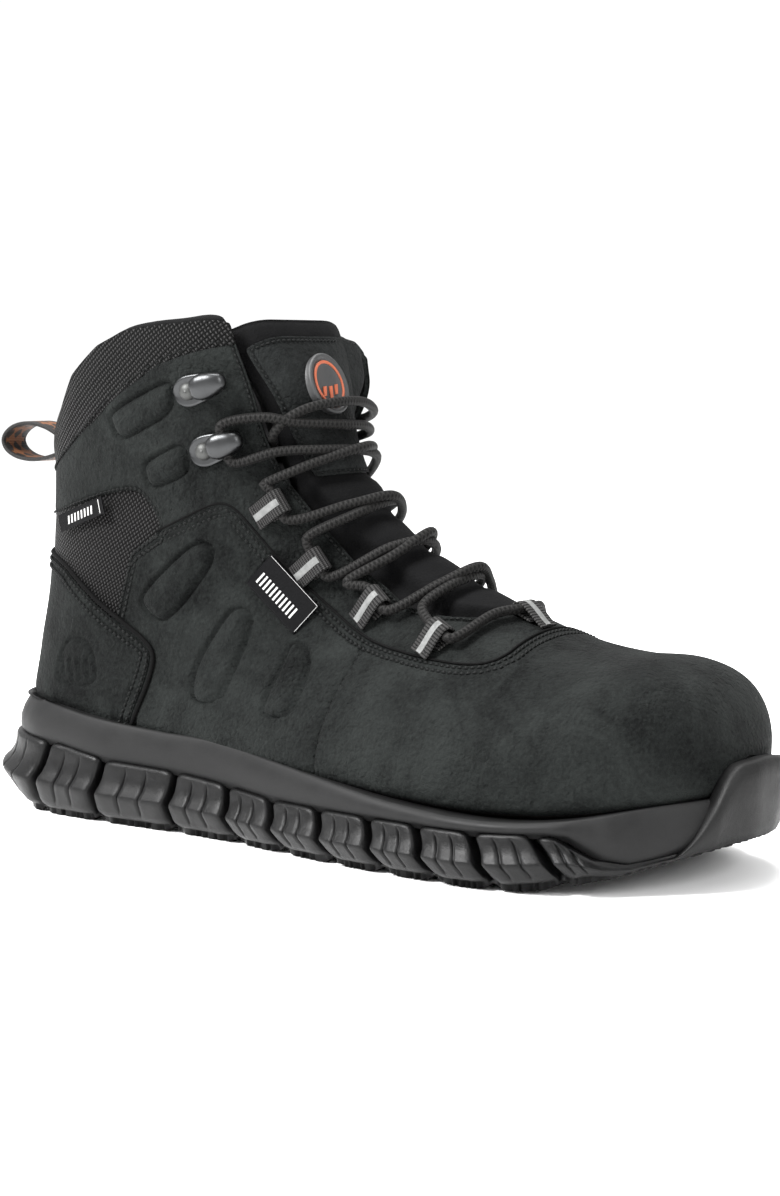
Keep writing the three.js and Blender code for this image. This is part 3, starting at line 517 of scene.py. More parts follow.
class Look:
    """A procedural material: one Principled shader and the nodes that feed it."""

    def __init__(self, name, **sockets):
        self.material = bpy.data.materials.new(name)
        self.material.use_nodes = True
        self.tree = self.material.node_tree
        self.shader = self.tree.nodes["Principled BSDF"]
        for socket, value in sockets.items():
            self.shader.inputs[socket.replace("_", " ")].default_value = value
        self.place = self.add("TexCoord").outputs["Object"]

    def add(self, kind, inputs=None, **settings):
        node = self.tree.nodes.new("ShaderNode" + kind)
        for key, value in settings.items():
            setattr(node, key, value)
        for key, value in (inputs or {}).items():
            if isinstance(value, bpy.types.NodeSocket):
                self.tree.links.new(value, node.inputs[key])
            else:
                node.inputs[key].default_value = value
        return node

    def math(self, operation, a, b=0.0, c=0.0):
        return self.add("Math", {0: a, 1: b, 2: c}, operation=operation).outputs[0]

    def ribs(self, length, turn):
        """Rounded ribs that follow each other along a length."""
        return self.math("ABSOLUTE", self.math("SINE", self.math("MULTIPLY", length, turn)))

    def noise(self, per_mm, detail=3.0, roughness=0.5, distortion=0.0):
        inputs = {"Vector": self.place, "Scale": per_mm / MM, "Detail": detail,
                  "Roughness": roughness, "Distortion": distortion}
        return self.add("TexNoise", inputs).outputs[0]

    def cells(self, per_mm, feature="F1"):
        inputs = {"Vector": self.place, "Scale": per_mm / MM}
        return self.add("TexVoronoi", inputs, feature=feature).outputs["Distance"]

    def spread(self, value, low, high, to_low=0.0, to_high=1.0):
        inputs = {0: value, 1: low, 2: high, 3: to_low, 4: to_high}
        return self.add("MapRange", inputs).outputs[0]

    def colours(self, share, *stops):
        """Colour ramp through (position, colour) stops."""
        ramp = self.add("ValToRGB", {0: share})
        elements = ramp.color_ramp.elements
        while len(elements) < len(stops):
            elements.new(0.5)
        for element, (position, colour) in zip(elements, stops):
            element.position = position
            element.color = (*colour, 1)
        return ramp.outputs[0]

    def mix(self, share, one, two):
        node = self.add("Mix", {0: share}, data_type="RGBA")
        for index, value in ((6, one), (7, two)):
            if isinstance(value, bpy.types.NodeSocket):
                self.tree.links.new(value, node.inputs[index])
            else:
                node.inputs[index].default_value = (*value, 1)
        return node.outputs[2]

    def surface(self, turn=0.0, per_mm=1.0):
        """Lengths along the piece's surface map, turned and scaled, as two outputs."""
        uv = self.add("UVMap", uv_map="surface").outputs[0]
        scale = per_mm / MM
        mapped = self.add("Mapping", {0: uv, 2: (0, 0, turn), 3: (scale, scale, scale)})
        split = self.add("SeparateXYZ", {0: mapped.outputs[0]})
        return split.outputs[0], split.outputs[1]

    def finish(self, colour=None, roughness=None, bumps=()):
        """Links the colour and roughness, and chains bumps of (height, depth in mm)."""
        links = self.tree.links
        if colour is not None:
            links.new(colour, self.shader.inputs["Base Color"])
        if roughness is not None:
            links.new(roughness, self.shader.inputs["Roughness"])
        normal = None
        for height, depth in bumps:
            inputs = {"Height": height, "Distance": depth * MM, "Strength": 1.0}
            if normal is not None:
                inputs["Normal"] = normal
            normal = self.add("Bump", inputs).outputs[0]
        if normal is not None:
            links.new(normal, self.shader.inputs["Normal"])
        return self.material


def nubuck(name, dark, light):
    look = Look(name, Sheen_Weight=0.01, Sheen_Roughness=0.5, Specular_IOR_Level=0.06)
    cloud = look.noise(0.045, 5, 0.65, 0.6)
    speck = look.noise(0.8, 5, 0.8)
    scuff = look.spread(look.noise(0.014, 3, 0.55), 0.45, 0.66)
    share = look.math("MULTIPLY_ADD", cloud, 0.5, look.math("MULTIPLY", speck, 0.5))
    base = look.colours(look.math("MULTIPLY_ADD", scuff, 0.07, share), (0.4, dark), (0.64, light))
    rough = look.spread(speck, 0.3, 0.7, 0.6, 0.84)
    grain = look.noise(1.9, 3, 0.6)
    pores = look.cells(0.75, "SMOOTH_F1")
    wrinkle = look.noise(0.16, 3, 0.55, 1.6)
    nap = look.noise(0.5, 4, 0.6)
    crackle = look.spread(look.cells(0.3, "DISTANCE_TO_EDGE"), 0.0, 0.2)
    creased = look.math("MULTIPLY", crackle, look.spread(look.noise(0.018, 2), 0.46, 0.6))
    return look.finish(base, rough, [(wrinkle, 0.8), (creased, 0.25), (nap, 0.7), (pores, 0.3),
                                     (grain, 0.3)])


def weave_height(look, u, v):
    """Height of a plain weave of round yarns, one unit wide."""
    wave_u = look.math("COSINE", look.math("MULTIPLY", look.math("SUBTRACT", look.math(
        "FRACT", u), 0.5), PI))
    wave_v = look.math("COSINE", look.math("MULTIPLY", look.math("SUBTRACT", look.math(
        "FRACT", v), 0.5), PI))
    along_u = look.math("MULTIPLY", wave_v, look.math("MULTIPLY_ADD", wave_u, 0.5, 0.5))
    along_v = look.math("MULTIPLY", wave_u, look.math("MULTIPLY_ADD", wave_v, 0.5, 0.5))
    floor_sum = look.math("ADD", look.math("FLOOR", u), look.math("FLOOR", v))
    parity = look.math("FLOORED_MODULO", floor_sum, 2)
    step = look.math("GREATER_THAN", parity, 0.5)
    apart = look.math("SUBTRACT", along_v, along_u)
    return look.math("MULTIPLY_ADD", apart, step, along_u)


def ballistic_nylon():
    look = Look("ballistic_nylon", Specular_IOR_Level=0.1)
    u, v = look.surface(turn=0.6, per_mm=1 / 1.45)
    wobble = look.noise(0.25, 2)
    u = look.math("MULTIPLY_ADD", wobble, 0.25, u)
    height = weave_height(look, u, v)
    fibre = look.noise(3.0, 2, 0.6)
    # Colour follows the weave's height: the yarn crowns are painted light as glints and the hollows
    # near black as painted shade.
    weave_glint_and_shade = look.colours(look.math("MULTIPLY_ADD", fibre, 0.25, height),
                        (0.6, (0.0, 0.0, 0.0)), (0.88, (0.0003, 0.0003, 0.0003)),
                        (1.0, (0.0205, 0.0199, 0.0197)))
    rough = look.spread(height, 0.3, 1.0, 0.8, 0.34)
    return look.finish(weave_glint_and_shade, rough, [(height, 0.55), (fibre, 0.08)])


def brushed_cloth(name, dark, light, depth=0.3):
    look = Look(name, Specular_IOR_Level=0.1)
    fuzz = look.noise(1.2, 4, 0.65)
    soft = look.noise(0.12, 3, 0.5)
    share = look.math("MULTIPLY_ADD", soft, 0.5, look.math("MULTIPLY", fuzz, 0.5))
    base = look.colours(share, (0.35, dark), (0.65, light))
    return look.finish(base, look.spread(fuzz, 0.3, 0.7, 0.8, 0.95),
                       [(soft, depth * 1.5), (fuzz, depth)])


def thread(name, colour):
    look = Look(name, Specular_IOR_Level=0.1)
    fibre = look.noise(4.0, 2, 0.6)
    light = tuple(c * 1.8 for c in colour)
    return look.finish(look.mix(fibre, colour, light), look.spread(fibre, 0, 1, 0.45, 0.65),
                       [(fibre, 0.06)])


def ribbed(name, dark, light, pitch, shine=0.2):
    """Webbing with ribs across the surface map's first direction; its colour is darker in the
    hollows between ribs and lighter on their crowns, as painted shade and highlight.
    """
    look = Look(name, Specular_IOR_Level=shine)
    u, v = look.surface(per_mm=1 / pitch)
    rib = look.ribs(u, PI)
    knit = look.ribs(v, PI * 1.7)
    height = look.math("MULTIPLY_ADD", knit, 0.35, rib)
    fibre = look.noise(2.5, 2, 0.6)
    # Painted shade and highlight: the colour darkens in the rib hollows and lightens on the rib
    # crowns.
    share = look.math("MULTIPLY_ADD", fibre, 0.3, look.math("MULTIPLY", height, 0.6))
    return look.finish(look.colours(share, (0.4, dark), (0.85, light)),
                       look.spread(height, 0, 1.3, 0.85, 0.55), [(height, 0.45), (fibre, 0.06)])


def reflective_bar():
    look = Look("reflective_bar", Specular_IOR_Level=0.12)
    bead = look.cells(2.2)
    dust = look.noise(0.4, 3, 0.6)
    base = look.colours(dust, (0.3, (0.1, 0.102, 0.1)), (0.7, (0.15, 0.152, 0.15)))
    return look.finish(base, look.spread(dust, 0.3, 0.7, 0.3, 0.5), [(bead, 0.05)])


LACE_PLAIT = 1.7               # length of one plait of the lace


def lace_braid():
    look = Look("lace_braid", Specular_IOR_Level=0.15)
    u, v = look.surface()
    along = look.math("MULTIPLY", u, 2 * PI / LACE_PLAIT)
    round_it = look.math("MULTIPLY", v, 6 * PI / 13.2)
    one = look.math("SINE", look.math("ADD", along, round_it))
    two = look.math("SINE", look.math("SUBTRACT", along, round_it))
    strand = look.math("MAXIMUM", one, two)
    fibre = look.noise(3.0, 3, 0.6)
    # Colour follows the strands' height: darker between strands as painted shade, lighter on their
    # crowns as painted highlight.
    share = look.math("MULTIPLY_ADD", fibre, 0.35, look.math("MULTIPLY_ADD", strand, 0.2, 0.3))
    base = look.colours(share, (0.2, (0.0006, 0.0006, 0.0006)), (0.55, (0.0038, 0.0036, 0.0034)),
                        (0.85, (0.012, 0.0114, 0.0108)))
    rough = look.spread(strand, -0.2, 1, 0.85, 0.6)
    return look.finish(base, rough, [(strand, 0.1), (fibre, 0.08)])


def moulded(name, dark, light, gloss, grain=0.1, **sockets):
    """Rubber or foam with a fine texture, faint scuffs and dull patches."""
    look = Look(name, **sockets)
    fine = look.noise(2.4, 3, 0.6)
    mottle = look.noise(0.09, 4, 0.6)
    base = look.colours(look.math("MULTIPLY_ADD", fine, 0.25, look.math("MULTIPLY", mottle, 0.75)),
                        (0.35, dark), (0.65, light))
    rough = look.spread(mottle, 0.3, 0.7, gloss - 0.06, gloss + 0.1)
    return look.finish(base, rough, [(mottle, grain * 2.5), (fine, grain)])


def metal(name, colour, gloss):
    look = Look(name, Metallic=1.0)
    stain = look.noise(0.25, 3, 0.6)
    fine = look.noise(3.5, 2, 0.5)
    base = look.mix(stain, tuple(c * 0.8 for c in colour), tuple(c * 1.15 for c in colour))
    rough = look.spread(fine, 0.3, 0.7, gloss, gloss + 0.14)
    return look.finish(base, rough, [(stain, 0.05), (fine, 0.02)])


def patterned_webbing():
    """Orange webbing with dark edges and a broken dark pattern."""
    look = Look("loop_webbing", Specular_IOR_Level=0.3)
    u, v = look.surface()
    rib = look.ribs(u, PI / 0.9)
    edge = look.math("GREATER_THAN", look.math("ABSOLUTE", v), 5.0)
    slant = look.math("SINE", look.math("MULTIPLY_ADD", v, 0.75, look.math("MULTIPLY", u, 0.42)))
    cross = look.math("SINE", look.math("SUBTRACT", look.math("MULTIPLY", u, 0.42), look.math(
        "MULTIPLY", v, 0.75)))
    blocks = look.math("GREATER_THAN", look.math("MULTIPLY", slant, cross), 0.12)
    dark = look.math("MAXIMUM", edge, blocks)
    fibre = look.noise(1.5, 3, 0.6)
    orange = look.mix(fibre, (0.06, 0.022, 0.008), (0.15, 0.054, 0.018))
    black = look.mix(fibre, (0.002, 0.0018, 0.0018), (0.008, 0.0068, 0.006))
    return look.finish(look.mix(dark, orange, black), look.spread(rib, 0, 1, 0.85, 0.6),
                       [(rib, 0.15), (fibre, 0.1)])


def satin():
    look = Look("label_satin", Specular_IOR_Level=0.06)
    _, v = look.surface()
    line = look.ribs(v, PI / 0.35)
    fibre = look.noise(1.2, 3, 0.6)
    base = look.mix(fibre, (0.0003, 0.0003, 0.0005), (0.0026, 0.0026, 0.003))
    return look.finish(base, look.spread(fibre, 0.3, 0.7, 0.4, 0.6), [(line, 0.05), (fibre, 0.06)])


def build_looks():
    looks = {
        "nubuck": nubuck("nubuck", (0.0003, 0.0005, 0.0005), (0.011, 0.0125, 0.0119)),
        "tongue_nubuck": nubuck("tongue_nubuck", (0.002, 0.0023, 0.0023), (0.012, 0.0132, 0.013)),
        "nylon": ballistic_nylon(),
        "lining": brushed_cloth("lining_cloth", (0.0012, 0.0012, 0.0013), (0.004, 0.004, 0.0042)),
        "tongue": brushed_cloth("tongue_cloth", (0.0007, 0.0007, 0.0008), (0.0024, 0.0024, 0.0027)),
        "footbed": brushed_cloth("footbed_cloth", (0.008, 0.008, 0.009), (0.02, 0.02, 0.021)),
        "thread": thread("thread", (0.0028, 0.0031, 0.003)),
        # Near-black edge colour: real edge paint, and also painted shade standing in for the shadow
        # in the gap along the foxing and shaft edges.
        "edge_paint_and_gap_shadow": brushed_cloth("edge_paint_and_gap_shadow", (0.0002, 0.0002, 0.0002),
                                    (0.0008, 0.0008, 0.0008), 0.1),
        "white_thread": thread("white_thread", (0.27, 0.27, 0.265)),
        "webbing": ribbed("ribbed_webbing", (0.0002, 0.0002, 0.0002), (0.021, 0.0203, 0.0197),
                          1.15),
        "heel_webbing": ribbed("heel_webbing", (0.0002, 0.0003, 0.0003), (0.0036, 0.004, 0.0039),
                               1.3, shine=0.05),
        "bar": reflective_bar(),
        "satin": satin(),
        "pull_loop": patterned_webbing(),
        "lace": lace_braid(),
        "rubber": moulded("pod_rubber", (0.0016, 0.0016, 0.0017), (0.004, 0.004, 0.0041), 0.38,
                          0.12, Specular_IOR_Level=0.18),
        "bumper": moulded("bumper_rubber", (0.0034, 0.0034, 0.0034), (0.006, 0.006, 0.006),
                          0.46, 0.12, Specular_IOR_Level=0.16),
        "midsole": moulded("midsole_foam", (0.0062, 0.0062, 0.0063), (0.0104, 0.0104, 0.0105),
                           0.52, 0.04, Specular_IOR_Level=0.14),
        "steel": metal("pressed_steel", (0.5, 0.51, 0.52), 0.3),
        "board": brushed_cloth("fibre_board", (0.003, 0.0026, 0.0022), (0.009, 0.008, 0.007)),
        "gunmetal": metal("gunmetal", (0.046, 0.047, 0.048), 0.29),
        "rivet": metal("matt_rivet", (0.075, 0.076, 0.074), 0.5),
        "badge": moulded("badge_rubber", (0.012, 0.0125, 0.013), (0.02, 0.0205, 0.021), 0.5),
        "orange": moulded("badge_orange", (0.26, 0.05, 0.016), (0.34, 0.075, 0.025), 0.5),
        "plastic": moulded("plain_plastic", (0.004, 0.004, 0.004), (0.007, 0.007, 0.007), 0.3,
                           0.03),
    }
    return looks


LOOKS = build_looks()


# ------------------------------------------------------------ camera and light

CAMERA_TARGET = Vector((110, 0, 90)) * MM
CAMERA_AZIMUTH, CAMERA_ELEVATION, CAMERA_DISTANCE = math.radians(36), math.radians(5.3), 880 * MM
CAMERA_LENS = 74.2
CAMERA_SHIFT = (0.0109, -0.0092)
SKY_STRENGTH = 1.05
LIGHTS = [("key", (-0.5, -1.2, 1.4), (0.6, 0.6), 92), ("top", (0.0, 0.2, 1.9), (1.0, 0.8), 40),
          ("toe", (1.6, -0.3, 0.9), (0.6, 0.6), 14)]     # name, place, size and power
FLOOR_HALF = 6000


def set_camera():
    data = bpy.data.cameras.new("camera")
    data.lens = CAMERA_LENS
    data.shift_x, data.shift_y = CAMERA_SHIFT
    data.clip_end = 20
    camera = new_object("camera", data)
    flat = math.cos(CAMERA_ELEVATION)
    back = Vector((math.sin(CAMERA_AZIMUTH) * flat, -math.cos(CAMERA_AZIMUTH) * flat,
                   math.sin(CAMERA_ELEVATION)))
    camera.location = CAMERA_TARGET + back * CAMERA_DISTANCE
    camera.rotation_euler = (-back).to_track_quat("-Z", "Y").to_euler()
    bpy.context.scene.camera = camera


def soft_light(name, place, size, power):
    data = bpy.data.lights.new(name, "AREA")
    data.shape = "RECTANGLE"
    data.size, data.size_y = size
    data.energy = power
    light = new_object(name, data)
    light.location = place
    aim = CAMERA_TARGET - Vector(place)
    light.rotation_euler = aim.to_track_quat("-Z", "Y").to_euler()


def set_studio():
    world = bpy.data.worlds.new("studio")
    world.use_nodes = True
    back = world.node_tree.nodes["Background"]
    back.inputs["Color"].default_value = (1.0, 1.0, 1.0, 1)
    back.inputs["Strength"].default_value = SKY_STRENGTH
    bpy.context.scene.world = world
    bpy.context.scene.view_settings.view_transform = "Standard"
    for light in LIGHTS:
        soft_light(*light)


def set_floor():
    look = Look("floor", Roughness=0.9, Specular_IOR_Level=0.1)
    shade = look.noise(0.002, 2)
    paper = look.finish(look.mix(shade, (0.96, 0.96, 0.96), (0.98, 0.98, 0.98)))
    data = bpy.data.meshes.new("floor")
    corners = [(x * FLOOR_HALF, y * FLOOR_HALF, 0) for x, y in ((-1, -1), (1, -1), (1, 1), (-1, 1))]
    data.from_pydata([tuple(c * MM for c in corner) for corner in corners], [], [(0, 1, 2, 3)])
    data.materials.append(paper)
    floor = new_object("floor", data)


# ------------------------------------------------------------ leather and nylon panels

# Pressed pads on the outer and inner side, in side view.
ANKLE_PADS = [
    [(29, 82), (37, 75), (46, 81), (54, 90), (61, 99), (61, 105), (54, 106), (40, 95), (31, 87)],
    [(54, 51), (59, 48), (69, 50), (71, 57), (77, 77), (75, 82), (69, 83), (63, 76), (54, 61)],
    [(90, 47), (99, 47), (104, 50), (106, 63), (103, 69), (98, 72), (94, 71), (93, 62), (90, 52)],
]
SHAFT_PADS = [
    [(17, 149), (21, 141), (33, 146), (46, 152), (48, 160), (46, 163), (39, 161), (18, 152)],
    [(32, 131), (34, 125), (38, 125), (51, 130), (52, 135), (50, 140), (46, 140), (33, 134)],
]
DOUBLE_ROW = (1.7, 4.3)         # lengths from a panel's edge to its two rows of stitches
SINGLE_ROW = 1.6
HEEL_EMBLEM = [(-13, 50), (-13, 59), (-9, 66), (-3, 68), (3, 66), (7, 59), (7, 50)]


PAD_PUFF = 2.0
PAD_GROOVE = 1.5


def pressed_pad(grid, outline):
    """Height of a pad with a pressed line round it."""
    d = grid.in_mm(inside(rounded(outline), grid.x, grid.z))
    crown = PAD_PUFF * (1 - np.exp(-np.maximum(d, 0) / 2.2))
    line = PAD_GROOVE * bump(d, 0.8)
    soft = 0.45 * bump(np.minimum(d, 0), 4.0) * (d < 0)
    return crown - line + soft


def stitch_groove(distance, at):
    """Hollow that a row of stitches pulls into the leather."""
    return -0.6 * bump(distance - at, 0.75)


def waves(grid, scale, amount, seed):
    """Smooth lumps from a few sine waves in random directions."""
    rng = np.random.default_rng(seed)
    total = np.zeros(grid.x.shape)
    for _ in range(14):
        k = rng.normal(size=3) / scale
        total += np.sin(grid.p @ k + rng.uniform(0, 2 * PI))
    return total * amount / 4


class Upper:
    """Fields of the upper's panels on one grid; each is a length, positive inside."""

    def __init__(self):
        g = self.grid = Grid()
        angle = np.abs(g.a)
        half = np.where(g.s < THROAT_END, opening_edge(g.s, g.a), -0.3)
        throat_field = (angle - half) * 38
        beyond = np.hypot(np.maximum(g.s - THROAT_END, 0) * 14, np.maximum(throat_field, 0))
        throat_field = np.where(g.s > THROAT_END - 0.2, beyond, throat_field)
        self.throat = g.in_mm(throat_field)
        keep = FEATHER + [(262, 220), (80, 220)] + RIM[::-1]
        self.keep = g.in_mm(inside(keep, g.x, g.z + inner_drop(g.x, g.z, g.a)))
        self.shaft = self.side_field(SHAFT)
        self.mesh = self.side_field(ANKLE_MESH)
        self.foxing = self.side_field(FOXING)
        self.collar = self.side_field(COLLAR_SEAM + [(90, 220), (-60, 220)])
        self.lateral = np.where(g.a > 0, 1, -1) * np.minimum(
            np.abs(g.v_ridge), np.abs(g.v_heel))

    def side_field(self, outline):
        return self.grid.in_mm(inside(rounded(outline, 1), self.grid.x, self.grid.z))


def least(*fields):
    result = fields[0]
    for field in fields[1:]:
        result = np.minimum(result, field)
    return result


def upper_panels(upper):
    g = upper.grid
    open_edge = least(upper.keep, upper.throat)
    over_band = g.z - follow(BAND_TOP, np.clip(g.x, -45, 258))
    lumps = waves(g, 9, 0.13, 3) + waves(g, 24, 0.25, 4)
    lumps -= 1.7 / (1 + np.exp((over_band - 0.6) / 0.9))
    seam_x = follow(VAMP_SEAM, np.clip(g.z, 20, 82))

    panel("collar_shell", g, least(open_edge, upper.collar + 4), LOOKS["nylon"], -0.5, 1.4, 0.6,
          detail=waves(g, 12, 0.25, 5) + 0.7 * bump(upper.keep - 7, 5), v="v_heel")
    for side, name in ((1, "lateral"), (-1, "medial")):
        half = upper.lateral * side
        mesh = least(upper.mesh + 4, half, upper.keep)
        panel("ankle_mesh_" + name, g, mesh, LOOKS["nylon"], -0.9, 1.0, 0.5,
              detail=waves(g, 12, 0.15, 6) + 1.5 * np.exp(
                  -((g.x + 2) / 26) ** 2 - ((g.z - 101) / 13) ** 2),
              v="v_heel")

        shaft = least(open_edge, upper.shaft + 4, -upper.mesh, -upper.collar, half)
        detail = lumps.copy()
        for outline in SHAFT_PADS:
            detail += pressed_pad(g, outline)
        detail += stitch_groove(-upper.collar, SINGLE_ROW)
        detail += stitch_groove(-upper.mesh, SINGLE_ROW) + stitch_groove(upper.throat, 2.2)
        detail += 0.35 * bump(upper.throat, 1.6)
        panel("shaft_" + name, g, shaft, LOOKS["nubuck"], -0.1, 1.5, 0.8, detail=detail)

        quarter = least(upper.keep, -upper.shaft, -upper.mesh, -upper.foxing + 4, half,
                        seam_x + 1.5 - g.x)
        detail = lumps - 1.0 / (1 + np.exp((seam_x - 0.9 - g.x) / 0.45))
        for outline in ANKLE_PADS:
            detail += pressed_pad(g, outline)
        for at in DOUBLE_ROW:
            detail += stitch_groove(-upper.shaft, at) + stitch_groove(-upper.mesh, at)
        detail -= 0.8 * bump(upper.foxing + 1.0, 0.9)
        panel("quarter_" + name, g, quarter, LOOKS["nubuck"], 0.45, 1.7, 0.8, detail=detail)

    vamp = least(upper.keep, -upper.shaft, g.x - seam_x)
    detail = lumps + sum(stitch_groove(-upper.shaft, at) for at in DOUBLE_ROW)
    panel("vamp", g, vamp, LOOKS["nubuck"], 0.55, 1.8, 0.7, detail=detail)

    foxing = least(upper.keep, upper.foxing)
    detail = lumps + sum(stitch_groove(upper.foxing, at) for at in DOUBLE_ROW)
    emblem = g.in_mm(inside(rounded(HEEL_EMBLEM), g.x, g.z))
    low_half = (emblem > 1.6) & (g.z < 60)
    bars = np.maximum(np.sin((g.x + g.z * 0.2) * 2 * PI / 4.4) - 0.1, 0) * low_half
    detail -= 1.2 * bump(emblem, 0.7) + 1.0 * bars
    detail -= 0.4 * np.clip(-g.x / 15, 0, 1)
    panel("heel_foxing", g, foxing, LOOKS["nubuck"], 0.95, 1.9, 0.8, detail=detail, v="v_heel")

    heel_strip = least(8 - np.abs(g.y), g.z - 96, 130 - g.z, -g.x)
    panel("backstay", g, heel_strip, LOOKS["heel_webbing"], 0.35, 1.3, 0.5, v="v_heel")


# ------------------------------------------------------------ stitches


def contour(field, mask, grid):
    """Paths on the grid where the field is zero and the mask is positive: (point, normal)."""
    faces, start, end, share = clip(np.minimum(field, mask))
    f, m = field.ravel(), mask.ravel()
    p, n = grid.p.reshape(-1, 3), grid.n.reshape(-1, 3)
    w = share[:, None]
    points = p[start] * (1 - w) + p[end] * w
    normals = unit(n[start] * (1 - w) + n[end] * w)
    on_field = np.abs(f[start] * (1 - share) + f[end] * share)
    on_mask = m[start] * (1 - share) + m[end] * share
    paths = []
    for loop in edge_loops(faces):
        good = [on_field[v] < 0.4 and on_mask[v] > 0.1 for v in loop]
        if not any(good):
            continue
        first = 0 if all(good) else good.index(False)
        turned = loop[first:] + loop[:first]
        kept = good[first:] + good[:first]
        run = []
        for v, keep in zip(turned + turned[:1], kept + [kept[0] and all(good)]):
            if keep:
                run.append(v)
                continue
            if len(run) > 4:
                paths.append((points[run], normals[run]))
            run = []
        if len(run) > 4:
            paths.append((points[run], normals[run]))
    return paths


def resample(path, normals, pitch):
    """Places at even steps along a path, with the way it runs and its normals there."""
    run = running_length(path)
    count = max(int(run[-1] / pitch), 1)
    at = (np.arange(count) + 0.5) * run[-1] / count

    ahead = at_lengths(np.minimum(at + 0.4 * pitch, run[-1]), run, path)
    behind = at_lengths(np.maximum(at - 0.4 * pitch, 0), run, path)
    return at_lengths(at, run, path), unit(ahead - behind), unit(at_lengths(at, run, normals))


class Pile:
    """Points and faces gathered from many small shapes into one mesh."""

    def __init__(self):
        self.points, self.faces, self.uvs, self.total = [], [], [], 0

    def add(self, points, faces, uvs=None):
        points = np.asarray(points, float)
        self.points.append(points)
        self.uvs.append(np.zeros((len(points), 2)) if uvs is None else np.asarray(uvs, float))
        self.faces += [tuple(v + self.total for v in face) for face in faces]
        self.total += len(points)

    def add_tube(self, rings, uvs=None):
        """A closed tube through rings of points that all have the same number."""
        uvs = None if uvs is None else np.vstack(uvs)
        self.add(np.vstack(rings), tube_faces(len(rings), len(rings[0])), uvs)

    def make(self, name, look, **settings):
        return make(name, np.vstack(self.points), self.faces, look, np.vstack(self.uvs),
                    **settings)


STITCH_SIDES = 6
STITCH_SHAPE = [(-0.5, 0.4, -0.9), (-0.36, 0.9, -0.05), (0, 1.0, 0.3), (0.36, 0.9, -0.05),
                (0.5, 0.4, -0.9)]       # along, radius and height, in parts of its own
STITCH_SHARE = 0.76             # length of a stitch, as a share of the step between two


def wall_faces(rings, sides):
    """Faces between rings of points, all with the same sides; the ends stay open."""
    faces = []
    for r in range(rings - 1):
        one = list(range(r * sides, (r + 1) * sides))
        faces += strip([v + sides for v in one], one)
    return faces


def tube_faces(rings, sides):
    """Faces of a tube with closed ends: rings of points, all with the same sides."""
    faces = wall_faces(rings, sides)
    faces.append(tuple(range(sides)))
    faces.append(tuple(reversed(range((rings - 1) * sides, rings * sides))))
    return faces


STITCH_FACES = tube_faces(len(STITCH_SHAPE), STITCH_SIDES)


def sew(pile, paths, lift, pitch, radius):
    """Row of thread stitches along paths of (points, normals), lifted off the surface."""
    turn = np.arange(STITCH_SIDES) * 2 * PI / STITCH_SIDES
    for path, normals in paths:
        if len(path) < 3:
            continue
        places, ways, ups = resample(path, normals, pitch)
        sides = unit(np.cross(ups, ways))
        for place, way, up, side in zip(places, ways, ups, sides):
            rings = []
            for along, size, high in STITCH_SHAPE:
                middle = place + way * along * pitch * STITCH_SHARE + up * (lift + high * radius)
                spoke = np.outer(np.cos(turn), side) + np.outer(np.sin(turn), up) * 0.8
                rings.append(middle + spoke * size * radius)
            pile.add(np.vstack(rings), STITCH_FACES)


def upper_stitching(upper):
    g = upper.grid
    threads = Pile()
    shaft_rows = least(upper.keep - 3, upper.throat + 2)
    ahead = g.x + 12
    for at in DOUBLE_ROW:
        row = contour(-upper.shaft - at, least(shaft_rows, -upper.mesh - 1, g.x - 14), g)
        sew(threads, row, 0.3, 2.3, 0.6)
        row = contour(upper.foxing - at, least(upper.keep - 2, 34.5 - g.x), g)
        sew(threads, row, 0.6, 2.3, 0.6)
        row = contour(-upper.mesh - at, least(-upper.shaft - 1, -upper.foxing - 1, ahead), g)
        sew(threads, row, 0.3, 2.3, 0.6)
    below_rim = upper.keep - 2.5
    on_shaft = least(upper.throat - 3, upper.shaft - 2, below_rim)
    row = contour(-upper.collar - SINGLE_ROW, on_shaft, g)
    sew(threads, row, -0.2, 2.2, 0.46)
    row = contour(-upper.mesh - SINGLE_ROW, least(upper.shaft - 0.5, g.x + 30), g)
    sew(threads, row, -0.2, 2.2, 0.46)
    row = contour(upper.throat - 2.3, least(upper.shaft - 2.5, -upper.collar - 2, below_rim), g)
    sew(threads, row, 0.0, 2.2, 0.46)
    threads.make("stitching", LOOKS["thread"])


def cut_edges(upper):
    """Dark tubes along the cut edges of the heel foxing and the shaft: partly edge paint, partly
    painted shadow of the gap under those edges.
    """
    g = upper.grid
    dark_edge_pile = Pile()
    foxing = contour(upper.foxing + 0.5, least(upper.keep - 1, 35.5 - g.x), g)
    shaft = contour(-upper.shaft + 0.3, least(upper.keep - 1, g.x - 16, -upper.mesh), g)
    for rows, radius, lift in ((foxing, 0.85, 0.1), (shaft, 0.5, 0.15)):
        for path, normals in rows:
            if len(path) > 8:
                tube(dark_edge_pile, blend_open(path, 4) + normals * lift, radius, 6, 1.2)
    dark_edge_pile.make("edge_paint_and_gap_shadow", LOOKS["edge_paint_and_gap_shadow"])


# ------------------------------------------------------------ sole

